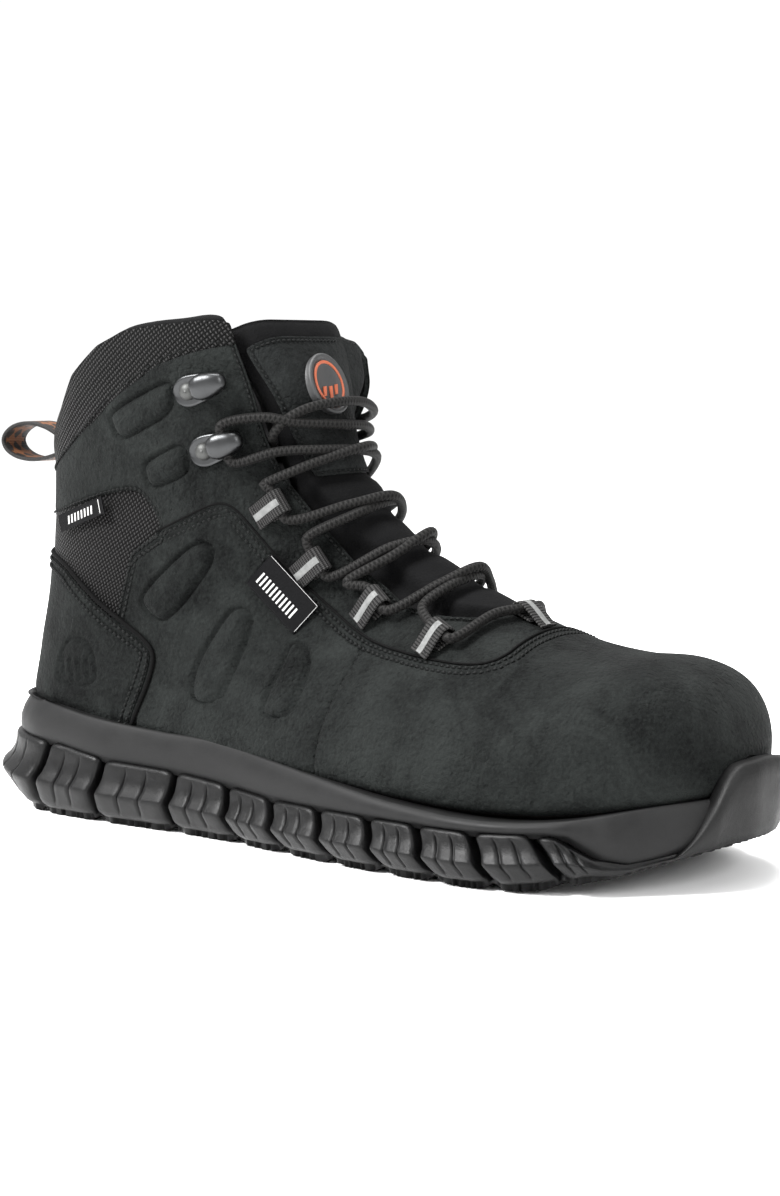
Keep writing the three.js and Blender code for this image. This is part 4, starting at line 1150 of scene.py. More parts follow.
# Ground outline of the sole: x, outer half width, inner half width.
SOLE_PLAN = [(-49, 3, 3), (-47.5, 12, 12), (-44, 21, 21), (-37.5, 29.5, 29), (-28, 36, 35.5),
             (0, 41, 40), (40, 41.5, 40), (70, 43, 40), (100, 48, 41), (130, 53, 45),
             (160, 56, 53), (185, 57, 58), (205, 54, 59), (222, 47, 55), (236, 37, 47),
             (247, 25, 37), (254, 12, 26), (258, 0, 15)]
POD_TOP = [(-49, 30.5), (-12, 28), (17, 24), (50, 23), (77, 21), (101, 19), (190, 19),
           (214, 20), (220, 19), (229, 12.5), (236, 11), (247, 14), (258, 18.5)]
TREAD = [(-49, 7), (-32, 1.8), (-24, 0), (196, 0), (215, 2.5), (235, 7.5), (258, 15)]
POD_GAPS = [-16.5, 13, 49, 77.5, 101, 125, 148, 169.5, 192, 214]
GAP_LEAN = [(-49, 0), (-30, -6), (-12, -7), (17, -4), (52, -2), (77, 3), (101, 4.5), (148, 5),
            (192, 7), (214, 10), (228, 6), (240, 0), (258, 0)]
SPINE_Y = [(-49, 0), (60, 0), (130, -2), (190, 1), (258, 7)]


def piecewise(rows, x):
    """Value at x of straight lines through rows of (x, value)."""
    rows = np.asarray(rows, float)
    return np.interp(x, rows[:, 0], rows[:, 1])


class SoleRing:
    """The sole's plan as one closed curve, run from the heel along the outer side."""

    def __init__(self):
        x = np.array([row[0] for row in SOLE_PLAN], float)
        fine = np.interp(np.linspace(0, len(x) - 1, 400), np.arange(len(x)), x)
        outer = np.column_stack([fine, -np.maximum(follow(SOLE_PLAN, fine, 1), 0)])
        inner = np.column_stack([fine, np.maximum(follow(SOLE_PLAN, fine, 2), 0)])
        ring = np.vstack([outer, inner[::-1]])
        step = np.linalg.norm(np.roll(ring, -1, 0) - ring, axis=1)
        ring = ring[step > 1e-6]
        ring = self.even(ring, 1600)
        self.ring = self.even(blend_ring(ring, 30), 1600)
        step = np.linalg.norm(np.roll(self.ring, -1, 0) - self.ring, axis=1)
        self.length = step.sum()
        self.run = np.concatenate([[0], np.cumsum(step)])
        closed = np.vstack([self.ring, self.ring[:1]])
        self.closed = closed
        way = np.roll(self.ring, -2, 0) - np.roll(self.ring, 2, 0)
        out = unit(np.column_stack([way[:, 1], -way[:, 0], np.zeros(len(way))]))[:, :2]
        self.out = np.vstack([out, out[:1]])
        self.toe = self.run[np.argmax(self.ring[:, 0])]

    @staticmethod
    def even(ring, count):
        closed = np.vstack([ring, ring[:1]])
        run = running_length(closed)
        at = np.linspace(0, run[-1], count + 1)[:-1]
        return at_lengths(at, run, closed)

    def at(self, u, values=None):
        values = self.closed if values is None else values
        u = np.mod(u, self.length)
        return np.stack([np.interp(u, self.run, values[:, k]) for k in range(2)], -1)

    def outward(self, u):
        return self.at(u, self.out)

    def side(self, u):
        """+1 on the outer side, -1 on the inner side."""
        return np.where(np.mod(u, self.length) < self.toe, 1, -1)

    def where_x(self, x, outer):
        """Place on the curve where it has this x, on one side."""
        part = self.run < self.toe
        u, xs = self.run[part], self.closed[part, 0]
        if not outer:
            u, xs = self.run[~part][::-1], self.closed[~part, 0][::-1]
        return float(np.interp(x, xs, u))


POD_SHAPE = [(0, -1.0), (0.05, 0.6), (0.12, 1.7), (0.26, 3.3), (0.36, 4.4), (0.42, 4.7),
             (0.47, 4.3), (0.56, 2.9), (0.68, 1.8), (0.82, 1.25), (0.92, 1.1), (0.96, 0.8),
             (0.985, 0.3), (1.0, -0.4)]
GAP_STEPS = [-2.9, -2.1, -1.75, -1.5, -1.3, 0, 1.3, 1.5, 1.75, 2.1, 2.9]
GAP_DEPTH = 7.0
LUG_HEIGHT = 2.8


def pod_columns(ring):
    """Places round the sole for the pods' columns, with the gaps and sipes on them."""
    gaps, sipes = [], []
    for outer in (True, False):
        at = [ring.where_x(x, outer) for x in POD_GAPS]
        gaps += at
        edges = [ring.where_x(-43, outer)] + at + [ring.where_x(228, outer)]
        for one, two in zip(edges, edges[1:]):
            sipes += [one + (two - one) * 0.36, one + (two - one) * 0.64]
    special = [g + d for g in gaps for d in GAP_STEPS]
    special += [s + d for s in sipes for d in (-0.7, -0.3, 0, 0.3, 0.7)]
    special = np.array(special)
    plain = np.arange(0, ring.length, 1.3)
    far = np.abs(plain[:, None] - special[None]).min(1) > 0.5
    return np.sort(np.concatenate([plain[far], special])), np.array(gaps), np.array(sipes)


def outsole(ring):
    u, gaps, sipes = pod_columns(ring)
    to_gap = np.abs(u[:, None] - gaps[None]).min(1)
    to_sipe = np.abs(u[:, None] - sipes[None]).min(1)
    base_x = ring.at(u)[:, 0]
    lean = piecewise(GAP_LEAN, base_x) * ring.side(u)
    in_gap = 1 / (1 + np.exp((to_gap - 1.4) * 9))
    corner = np.exp(-np.maximum(to_gap - 1.5, 0) / 1.1)
    open_depth = np.where(base_x > 226, 0, 1)
    low, top = piecewise(TREAD, base_x), piecewise(POD_TOP, base_x)
    notch = bump(to_gap, 3.4) * open_depth
    low_lug = low + np.maximum(in_gap * LUG_HEIGHT, 2.0 * notch) * open_depth
    toe_flat = ramp(base_x, 222, 10)
    heel = np.clip((-6 - base_x) / 30, 0, 1)
    rows = []

    def row(share, offset, z):
        at = u + lean * (0.5 - share)
        point = ring.at(at) + ring.outward(at) * np.broadcast_to(offset, u.shape)[:, None]
        rows.append(np.column_stack([point, np.broadcast_to(z, u.shape)]))

    def bottom_row(keep):
        at = u + lean * 0.5
        edge = ring.at(at) - ring.outward(at) * 4.2
        spine = np.column_stack([np.clip(edge[:, 0], -22, 232), piecewise(SPINE_Y, edge[:, 0])])
        point = spine + (edge - spine) * keep
        tread = 0.9 * (np.sin(point[:, 0] * 2 * PI / 8 + 5 * np.abs(np.sin(keep * PI))) > 0.55)
        z = low_lug + tread * (0.05 < keep < 0.95) * (1 - in_gap)
        rows.append(np.column_stack([point, z]))

    for keep in (0.0, 0.15, 0.16, 0.34, 0.35, 0.55, 0.56, 0.75, 0.76, 0.9, 0.97):
        bottom_row(keep)
    serrated = 0.45 * np.sign(np.sin(u * 2 * PI / 2.6)) * (1 - in_gap)
    lug_out = -3.2 + serrated + toe_flat * 2.6
    row(0, lug_out, low_lug)
    row(0, lug_out + 0.5, low_lug + (low + LUG_HEIGHT * (1 - toe_flat * 0.8) - low_lug) * 0.97)
    foot = low + LUG_HEIGHT * (1 - toe_flat * 0.8) + 1.3 * notch
    ceiling = top - corner * 1.6 * open_depth - in_gap * 1.2
    for share, out in POD_SHAPE:
        sipe = 1.4 * bump(to_sipe, 0.34) * (0.2 < share < 0.88)
        bulge = out * (1 - toe_flat * 0.75) * (1 + heel * 0.6) - corner * 0.9 - sipe
        depth = (GAP_DEPTH + out) * in_gap * open_depth
        row(share, bulge - depth, foot + (ceiling - foot) * share)
    row(1.0, -3.0 - GAP_DEPTH * in_gap * open_depth * 0.6, ceiling)
    row(1.0, -9.0, ceiling + 0.2)
    count = len(u)
    faces = wall_faces(len(rows), count)
    body = make("outsole", np.vstack(rows), faces, LOOKS["rubber"], nodes=["outsole"])
    close_row(body, (len(rows) - 1) * count, count)
    return body


def close_row(obj, first, count):
    """Closes a tube of rows with a fan over its last row."""
    data = obj.data
    points = np.array([v.co for v in data.vertices])
    faces = [tuple(f.vertices) for f in data.polygons]
    middle = points[first:first + count].mean(0)
    points = np.vstack([points, middle])
    centre = len(points) - 1
    faces += [(first + k, centre, first + (k + 1) % count) for k in range(count)]
    fresh = bpy.data.meshes.new(data.name)
    fresh.from_pydata(points.tolist(), [], faces)
    fresh.shade_smooth()
    fresh.materials.append(data.materials[0])
    obj.data = fresh


def midsole(ring):
    u = np.arange(0, ring.length, 1.5)
    x = ring.at(u)[:, 0]
    low, top = piecewise(POD_TOP, x), follow(BAND_TOP, x)
    toe = ramp(x, 226, 14)
    rows = []

    def row(offset, z):
        point = ring.at(u) + ring.outward(u) * np.broadcast_to(offset, u.shape)[:, None]
        rows.append(np.column_stack([point, np.broadcast_to(z, u.shape)]))

    heel = np.clip((-6 - x) / 30, 0, 1)
    row(-14.0, low - 1.5)
    row(-1.5, low - 1.5)
    for share, out in ((0.0, -0.9), (0.05, -0.2), (0.16, 0.45), (0.4, 0.95), (0.62, 0.8),
                       (0.8, 0.3), (0.93, -0.35), (0.98, -0.8), (1.0, -1.4)):
        row(out + toe * 0.8 - heel * 4.2 * share ** 1.5, low + (top - low) * share)
    row(-2.6, top - 0.35)
    row(-14.0, top - 0.9)
    count = len(u)
    faces = wall_faces(len(rows), count)
    faces += strip(list(range(count)), [v + (len(rows) - 1) * count for v in range(count)])
    make("midsole", np.vstack(rows), faces, LOOKS["midsole"], nodes=["midsole"])


# Top edge of the toe bumper in front view: y, z.
BUMPER_TOP = [(-45, 7), (-38, 8), (-31, 10), (-26, 13), (-21, 18.5), (-16, 28), (-11.5, 36.5),
              (-7.5, 40.8), (-3, 41.8), (6, 42.3), (15, 41.8), (21, 40.8), (25, 38), (30, 31.5),
              (37, 23), (43, 16), (49, 11), (56, 8)]
BUMPER_OUT = [(0, 1.6), (0.12, 2.8), (0.35, 4.3), (0.6, 5.4), (0.8, 5.7), (0.92, 5.3), (0.98, 4.4),
              (1, 3.4)]


def toe_bumper(ring):
    start, end = ring.where_x(238, True), ring.where_x(230, False)
    u = np.linspace(start, end, 110)
    plan, out = ring.at(u), ring.outward(u)
    top = piecewise(BUMPER_TOP, plan[:, 1])
    top = np.convolve(np.pad(top, 2, mode="edge"), np.ones(5) / 5, mode="valid")
    low = piecewise(TREAD, plan[:, 0]) + 1.2
    top = np.maximum(top, low + 0.6)
    tall = np.clip((top - low) / 16, 0, 1) ** 0.7
    fade = np.clip((end - u) / 12, 0, 1) * ramp(u, start, 12)
    rows = []
    for share, offset in [(0, -1.5)] + BUMPER_OUT + [(1, -0.6)]:
        away = np.where(offset > 0, offset * (0.3 + 0.7 * tall) * (0.25 + 0.75 * fade), offset)
        point = plan + out * away[:, None]
        z = low + (top - low) * share
        rows.append(np.column_stack([point, z]))
    count = len(u)
    faces = []
    numbers = [list(range(r * count, (r + 1) * count)) for r in range(len(rows))]
    for one, two in zip(numbers, numbers[1:] + numbers[:1]):
        faces += strip(two, one, closed=False)
    faces.append(tuple(row[0] for row in numbers))
    faces.append(tuple(row[-1] for row in reversed(numbers)))
    make("toe_bumper", np.vstack(rows), faces, LOOKS["bumper"], nodes=["toe_bumper"])


# ------------------------------------------------------------ frames and sweeps


def frame_on(one, two):
    """Origin, along, across and out of the frame set on the leather between two places."""
    start, end = on_upper(*one), on_upper(*two)
    s, a = (one[0] + two[0]) / 2, (one[1] + two[1]) / 2
    out = normal_at(s, a)
    along = end - start
    along = unit(along - out * along.dot(out))
    return on_upper(s, a), along, np.cross(out, along), out


def placed(frame_at, points):
    origin, along, across, out = frame_at
    points = np.asarray(points, float)
    return origin + points[..., :1] * along + points[..., 1:2] * across + points[..., 2:3] * out


def smooth_path(points, per_segment=12):
    """Centripetal Catmull-Rom curve through the points."""
    points = np.asarray(points, float)
    padded = np.vstack([2 * points[0] - points[1], points, 2 * points[-1] - points[-2]])
    result = []
    for k in range(len(points) - 1):
        p0, p1, p2, p3 = padded[k:k + 4]
        d0, d1, d2 = (max(np.linalg.norm(b - a), 1e-6) ** 0.5
                      for a, b in ((p0, p1), (p1, p2), (p2, p3)))
        t1 = ((p1 - p0) / d0 - (p2 - p0) / (d0 + d1) + (p2 - p1) / d1) * d1
        t2 = ((p2 - p1) / d1 - (p3 - p1) / (d1 + d2) + (p3 - p2) / d2) * d1
        t = np.linspace(0, 1, per_segment, endpoint=False)[:, None]
        result.append((2 * t ** 3 - 3 * t ** 2 + 1) * p1 + (t ** 3 - 2 * t ** 2 + t) * t1
                      + (3 * t ** 2 - 2 * t ** 3) * p2 + (t ** 3 - t ** 2) * t2)
    return np.vstack(result + [points[-1:]])


def even_path(path, pitch):
    run = running_length(path)
    at = np.linspace(0, run[-1], max(int(run[-1] / pitch), 2) + 1)
    return at_lengths(at, run, path), at


def tube(pile, path, radius, sides=12, pitch=0.9):
    """Round tube along a path, with lengths along and round it on its surface map."""
    points, at = even_path(path, pitch)
    way = unit(np.gradient(points, axis=0))
    up = np.array([0.0, 0.0, 1.0])
    up = unit(up - way[0] * way[0].dot(up))
    rings, uvs = [], []
    radii = np.broadcast_to(radius, len(points))
    turn = np.arange(sides) * 2 * PI / sides
    for k, (point, run) in enumerate(zip(points, at)):
        up = unit(up - way[k] * way[k].dot(up))
        side = np.cross(way[k], up)
        spokes = np.outer(np.cos(turn), side) + np.outer(np.sin(turn), up)
        rings.append(point + spokes * radii[k])
        uvs.append(np.column_stack([np.full(sides, run), turn * 2.1]))
    pile.add_tube(rings, uvs)
    return at[-1]


def ribbon(pile, path, place, width, thickness):
    """Strap along a path in the local x, z plane, with thin rounded long edges."""
    points, at = even_path(np.asarray(path, float), 0.5)
    way = unit(np.column_stack([np.gradient(points[:, 0]), np.gradient(points[:, 1])]))
    normal = np.column_stack([-way[:, 1], way[:, 0]])
    half = width / 2
    edge = [(-1, 0), (-0.96, 0.42), (-0.88, 0.5), (-0.45, 0.5), (0, 0.5), (0.45, 0.5),
            (0.88, 0.5), (0.96, 0.42), (1, 0), (0.96, -0.42), (0.88, -0.5), (0, -0.5),
            (-0.88, -0.5), (-0.96, -0.42)]
    rings, uvs = [], []
    for k in range(len(points)):
        ring = [(points[k, 0] + normal[k, 0] * t * thickness, y * half,
                 points[k, 1] + normal[k, 1] * t * thickness) for y, t in edge]
        rings.append(placed(place, ring))
        uvs.append([(at[k], y * half) for y, _ in edge])
    pile.add_tube(rings, uvs)


# ------------------------------------------------------------ lacing hardware

LOOPS = [[(5.06, 0.89), (4.78, 0.71)], [(6.9, 0.77), (6.6, 0.57)],
         [(8.7, 0.75), (8.45, 0.54)], [(10.2, 0.8), (10.14, 0.56)]]
TOE_LOOP = [(11.15, 0.04), (10.45, 0.04)]
TOE_LOOP_RISE = 0.7             # height of the toe loop beside the others
INNER_LOOP_SHIFT = 0.17         # the inner loops sit this much further round
HOOKS = {"lower": [(3.3, 1.13), (3.1, 0.86)], "upper": [(2.1, 1.2), (1.9, 0.93)]}
STRAP_WIDTH = 9
EYE_X, LACE_LIFT = 3.4, 3.8
HOOK_WIDTH, HOOK_SEAT = 9, (9.8, 4.4)
STRAP_PATH = [(-7.4, 1.2), (-5.6, 1.9), (-3.6, 3.0), (-1.6, 4.2), (0.4, 5.3), (2.0, 6.0),
              (3.6, 6.4), (5.2, 5.9), (6.2, 4.6), (6.3, 3.1), (5.3, 1.5), (3.6, 1.0), (-2, 0.8)]


def mirrored(ends, round_it=0.06):
    """The same places on the inner side, a little further round it."""
    return [(s, -a - round_it) for s, a in ends]


def inner_loop(number):
    return mirrored(LOOPS[number], INNER_LOOP_SHIFT)


def curve_2d(points):
    flat = np.column_stack([np.asarray(points, float), np.zeros(len(points))])
    return smooth_path(flat, 8)[:, :2]


def lace_loop(name, ends, threads, rise=1.0):
    """Ribbed strap folded round the lace, sewn down, with a reflective bar along it."""
    place = frame_on(*ends)
    path = curve_2d([(x, z * rise) for x, z in STRAP_PATH])
    strap, bar = Pile(), Pile()
    ribbon(strap, path, place, STRAP_WIDTH, 0.9)
    on_top = path[:np.argmax(path[:, 0] > 4.6)]
    off = unit(np.column_stack([-np.gradient(on_top[:, 1]), np.gradient(on_top[:, 0])]))
    ribbon(bar, on_top[2:] + off[2:] * 0.5, place, 2.6, 0.35)
    strap.make(name, LOOKS["webbing"], nodes=[name])
    bar.make(name + "_bar", LOOKS["bar"])
    for low, high in ((-4.2, -1.5), (1.5, 4.2)):
        line = placed(place, [(-5.6, y, 2.35 * rise) for y in np.linspace(low, high, 6)])
        sew(threads, [(line, np.repeat(place[3][None], 6, 0))], 0.0, 1.6, 0.34)


def hook_frame(ends):
    _, along, across, out = frame_on(*ends)
    return on_upper(*ends[0]), along, across, out


def speed_hook(side, level, ends):
    """Pressed hook: a teardrop plate that curls up at its tip and back over the lace."""
    place = hook_frame(ends)
    path = curve_2d([(-5.5, 1.1), (-3, 1.15), (2, 1.15), (8, 1.1), (12, 1.1), (14.4, 1.9),
                     (15.5, 3.7), (14.9, 5.6), (12.8, 6.8), (9.5, 7.4), (6.5, 7.6),
                     (4.2, 7.3), (3.4, 6.2)])
    widths = ([0, 0.4, 1.2, 2.6, 4.6, 6.5, 9, 13, 17, 20, 22.5, 25, 28, 31, 33.6, 34.6],
              [0.8, 2.3, 3.7, 4.9, 5.6, 5.7, 5.4, 4.7, 3.8, 3.2, 3.1, 3.5, 4.2, 4.7, 4.6, 4.0])
    sheet = Pile()
    hook_sheet(sheet, path, place, widths)
    sheet.make(f"hook_{side}_{level}", LOOKS["gunmetal"], nodes=[f"hook_{side}_{level}"])
    dome = [(0.01, 4.3), (1.0, 4.2), (2.0, 3.8), (2.8, 3.1), (3.15, 2.4), (3.2, 1.7), (3.9, 1.55),
            (4.1, 1.3), (4.1, 1.0)]
    head = Pile()
    turn = np.arange(28) * 2 * PI / 28
    rings = [placed(place, np.column_stack([r * np.cos(turn), r * np.sin(turn),
                                            np.full(28, z)])) for r, z in dome]
    head.add(np.vstack(rings), [tuple(reversed(f)) for f in tube_faces(len(rings), 28)])
    head.make(f"rivet_{side}_{level}", LOOKS["rivet"], nodes=[f"rivet_{side}_{level}"])


def hook_sheet(pile, path, place, widths):
    points, at = even_path(path, 0.55)
    way = unit(np.column_stack([np.gradient(points[:, 0]), np.gradient(points[:, 1])]))
    normal = np.column_stack([-way[:, 1], way[:, 0]])
    half = np.interp(at, *widths)
    curled = ramp(at, 17, 6)
    across = [-1, -0.93, -0.8, -0.4, 0, 0.4, 0.8, 0.93, 1]
    rings = []
    for k in range(len(points)):
        ring = []
        for sign, row in ((0.5, across), (-0.5, across[::-1])):
            for y in row:
                thin = 0.45 if abs(y) == 1 else 1.0
                rim = 0.3 * (0.7 < abs(y) < 1) * (1 - curled[k]) * (sign > 0)
                dip = 7.0 * curled[k] * max(abs(y) - 0.7, 0)
                lift = sign * 1.1 * thin + rim + dip
                ring.append((points[k, 0] + normal[k, 0] * lift, y * half[k],
                             points[k, 1] + normal[k, 1] * lift))
        rings.append(placed(place, ring))
    pile.add_tube(rings)


def hardware():
    threads = Pile()
    for number, ends in enumerate(LOOPS, 1):
        lace_loop(f"lace_loop_lateral_{number}", ends, threads)
        lace_loop(f"lace_loop_medial_{number}", inner_loop(number - 1), threads)
    lace_loop("lace_loop_toe", TOE_LOOP, threads, TOE_LOOP_RISE)
    threads.make("strap_stitches", LOOKS["thread"])
    for level, ends in HOOKS.items():
        speed_hook("lateral", level, ends)
        speed_hook("medial", level, mirrored(ends))


# ------------------------------------------------------------ lace

UNDER, OVER = 2.6, 6.2
LACE_RADIUS = 1.75


def off_at(s, a, h):
    return off_upper(np.array(s, float), np.array(a, float), np.array(h, float))


def through(place, x, z, reach, along):
    return [placed(place, (x, k * reach * along, z)) for k in (-1, 0, 1)]


def lace_half(side, over):
    lift = OVER if over else UNDER

    def eye(k, flip):
        place = frame_on(*(LOOPS[k] if side * flip > 0 else inner_loop(k)))
        return through(place, EYE_X, LACE_LIFT, STRAP_WIDTH / 2 + 2, side * flip)

    def on(*rows):
        return [off_at(s, a * side, h) for s, a, h in rows]

    lower = HOOKS["lower"] if side > 0 else mirrored(HOOKS["lower"])
    hook = through(hook_frame(lower), *HOOK_SEAT, HOOK_WIDTH / 2 + 2, side)
    return (on((10.42, 0.3, 2.6)) + eye(3, 1)
            + on((9.32, 0.52, 3.9), (9.04, 0.28, 3.4), (8.9, 0, lift), (8.85, -0.3, 3.4))
            + eye(2, -1)
            + on((7.68, -0.6, 4.2), (7.42, -0.32, 3.5), (7.22, 0, lift), (7.12, 0.28, 3.4))
            + eye(1, 1)
            + on((6.0, 0.64, 4.2), (5.76, 0.34, 3.5), (5.55, 0, lift), (5.4, -0.32, 3.4))
            + eye(0, -1)
            + on((4.3, -0.8, 4.2), (4.02, -0.55, 3.8), (3.82, -0.28, 3.6), (3.68, 0, lift),
                 (3.6, 0.35, 3.4), (3.5, 0.66, 3.2))
            + hook + on((2.68, 0.72, 3.2)))


TUCKED_OVER = [(2.6, 0.5, 3.6), (2.5, 0.2, 4.4), (2.5, -0.15, 4.2), (2.6, -0.42, 3.4),
               (2.85, -0.6, 3), (3.1, -0.68, 1), (3.3, -0.7, -4), (3.6, -0.78, -9),
               (4.1, -0.8, -13)]
TUCKED_UNDER = [(2.85, 0.5, 3.4), (3, 0.15, 3.6), (3.05, -0.2, 3.4), (3.1, -0.5, 3.2),
                (3.18, -0.66, 1.2), (3.35, -0.7, -4), (3.65, -0.78, -9), (4.1, -0.8, -13)]


def lace():
    inner = lace_half(-1, True) + [off_at(s, -a, h) for s, a, h in TUCKED_OVER]
    outer = lace_half(1, False) + [off_at(s, a, h) for s, a, h in TUCKED_UNDER]
    toe = through(frame_on(*TOE_LOOP), EYE_X, LACE_LIFT * TOE_LOOP_RISE, STRAP_WIDTH / 2, 1)
    path = smooth_path(inner[::-1] + toe + outer)
    cord = Pile()
    tube(cord, path, LACE_RADIUS, 14, 0.8)
    cord.make("lace", LOOKS["lace"], nodes=["lace"])


# ------------------------------------------------------------ tongue

LACE_PRESS = [9.0, 7.35, 5.7, 4.1]       # sections where the lace presses the tongue in
TONGUE_HALF = [(0, 0.9), (0.9, 0.86), (2.3, 0.7), (3, 0.67), (4.4, 0.6), (5, 0.66),
               (6.5, 0.62), (9.2, 0.6), (10.2, 0.42)]


def tongue_height(s, a):
    """Height of the padded tongue's face: puffs between the lace crossings."""
    throat = np.minimum(opening_edge(s, a), 0.9)
    press = sum(bump(s - at, 0.33) for at in LACE_PRESS)
    puff = ramp(s, 4.25, 0.6) * (0.2 + 1.3 * np.cos(np.clip(a / throat, -1, 1) * 1.3))
    sunk = np.clip((np.abs(a) - throat + 0.17) / 0.12, 0, 1)
    sunk = sunk * sunk * (3 - 2 * sunk)
    face = -2.2 + ramp(s, 4.2, 0.4) * 1.3
    height = (face + puff * (1 - 0.85 * press)) * (1 - sunk) - 4.0 * sunk
    return height - 0.85 * flare(s, a)


def tongue_corner(across):
    """Sections by which the tongue's top edge falls towards its rounded corners."""
    reach = ramp(np.abs(across), 0.35, 0.65)
    return np.where(across < 0, 1.1, 0.3) * reach ** 2


def tongue(upper):
    rows = np.linspace(0.7, 10.2, 150)
    across = np.linspace(-1, 1, 56)
    s = np.repeat(rows[:, None], len(across), 1)
    drop = tongue_corner(across)[None] * np.clip((3 - s) / 2.38, 0, 1)
    s = s + drop
    half = follow(TONGUE_HALF, rows)[:, None]
    a = across[None] * half
    height = tongue_height(s, a)
    front = off_upper(s, a, height)
    back = on_upper(s, a, 8.0)
    top = ramp(rows[:, None], 0.7, 0.5) + 0 * s
    round_top = np.sqrt(1 - (1 - top) ** 2)
    middle = (front + back) / 2
    front = middle + (front - middle) * (0.15 + 0.85 * round_top[..., None])
    back = middle + (back - middle) * (0.15 + 0.85 * round_top[..., None])
    rings = [np.vstack([f, b[::-1]]) for f, b in zip(front, back)]
    lengths = np.concatenate([across * 30, across[::-1] * 30])
    pad = Pile()
    uvs = [np.column_stack([np.full(len(lengths), r * 14), lengths]) for r in rows]
    pad.add_tube(rings, uvs)
    body = pad.make("tongue_pad", LOOKS["tongue"], body="tongue", nodes=["tongue_pad"])
    between = 1 - sum(bump(rows - at, 0.4) for at in LACE_PRESS)
    loose = np.outer(between * ramp(rows, 3.2, 0.6) * np.clip((10 - rows) / 0.6, 0, 1),
                     np.clip((0.86 - np.abs(across)) / 0.2, 0, 1))
    swell(body, np.hstack([loose, 0 * loose]).ravel(), 1.6)
    g = upper.grid
    edge = 34 * (follow([(0, 0.75), (1.5, 0.72), (2.3, 0.62), (3, 0.56), (4.4, 0.45)],
                        np.clip(g.s, 0, 4.4)) - np.abs(g.a) - 0.14 * (g.a < 0))
    top = 1.0 + tongue_corner(-np.clip(-g.a / 0.74, -1, 1))
    patch = least(edge, (g.s - top) * 17, (4.3 - g.s) * 14)
    detail = stitch_groove(patch, 2.0) + waves(g, 10, 0.2, 9) - 0.85 * flare(g.s, g.a)
    panel("tongue_leather", g, patch, LOOKS["tongue_nubuck"], -0.7, 1.5, 0.6, detail=detail,
          body="tongue")
    threads = Pile()
    row = contour(patch - 2.0, np.minimum(0.3 + g.a, 1), g)
    sew(threads, row, -0.75, 2.2, 0.44)
    threads.make("tongue_stitching", LOOKS["thread"], body="tongue")
    badge()


def badge():
    """Moulded oval with a raised rim, a ring and three slanted bars: a plain design."""
    place = frame_on((2.6, 0.06), (1.5, 0.06))
    turn = np.arange(40) * 2 * PI / 40
    oval = np.column_stack([1.25 * np.cos(turn), 1.08 * np.sin(turn)])

    def disc(name, profile, look, nodes=()):
        pile = Pile()
        rings = [placed(place, np.column_stack([oval * r, np.full(40, z)])) for r, z in profile]
        pile.add_tube(rings)
        pile.make(name, look, body="tongue", nodes=nodes)

    disc("tongue_badge", [(8.6, -3.4), (9.2, 0.3), (9.1, 0.9), (8.7, 1.25), (8.2, 1.3), (7.8, 1.0),
                          (7.6, 0.7), (0.01, 0.7)], LOOKS["badge"], nodes=["tongue_badge"])
    disc("badge_ring", [(6.9, 0.5), (6.9, 1.0), (6.7, 1.15), (6.2, 1.15), (6.0, 1.0), (6.0, 0.5)],
         LOOKS["orange"])
    bars = Pile()
    for y in (-3.2, 0, 3.2):
        reach = 4.4 if y else 5.6
        slant = [(-reach, y + 0.8), (-reach * 0.2, y - 0.8), (-reach * 0.2, y + 0.9),
                 (-reach, y + 2.2)]
        low = [(x, q, 0.5) for x, q in slant]
        high = [(x, q, 1.15) for x, q in slant]
        bars.add(placed(place, low + high), tube_faces(2, 4))
    bars.make("badge_bars", LOOKS["orange"], body="tongue", smooth=False)


# ------------------------------------------------------------ collar, bootie and footbed


def crossing(values, s):
    """First place along each column where the value turns positive."""
    sign = values > 0
    k = np.clip(np.argmax(sign, axis=0), 1, len(s) - 1)
    columns = np.arange(values.shape[1])
    low, high = values[k - 1, columns], values[k, columns]
    t = np.clip(low / np.where(low == high, 1, low - high), 0, 1)
    return s[k - 1] + (s[k] - s[k - 1]) * t


def round_angle(s, q):
    outer, inner = opening_edge(s, 0.1) + 0.03, opening_edge(s, -0.1) + 0.03
    return outer + (2 * PI - outer - inner) * q


def edge_sections(q, outline):
    """Section at each place round the collar where the upper passes under the outline."""
    s = np.linspace(0, 6, 240)
    grid_s = np.repeat(s[:, None], len(q), 1)
    angles = round_angle(grid_s, q[None])
    x, _, z = np.moveaxis(on_upper(grid_s, angles), -1, 0)
    return crossing(follow(outline, x) - inner_drop(x, z, angles) - z, s)


COLLAR_CHANNELS = 2.6           # sewn channels across the collar's inner face


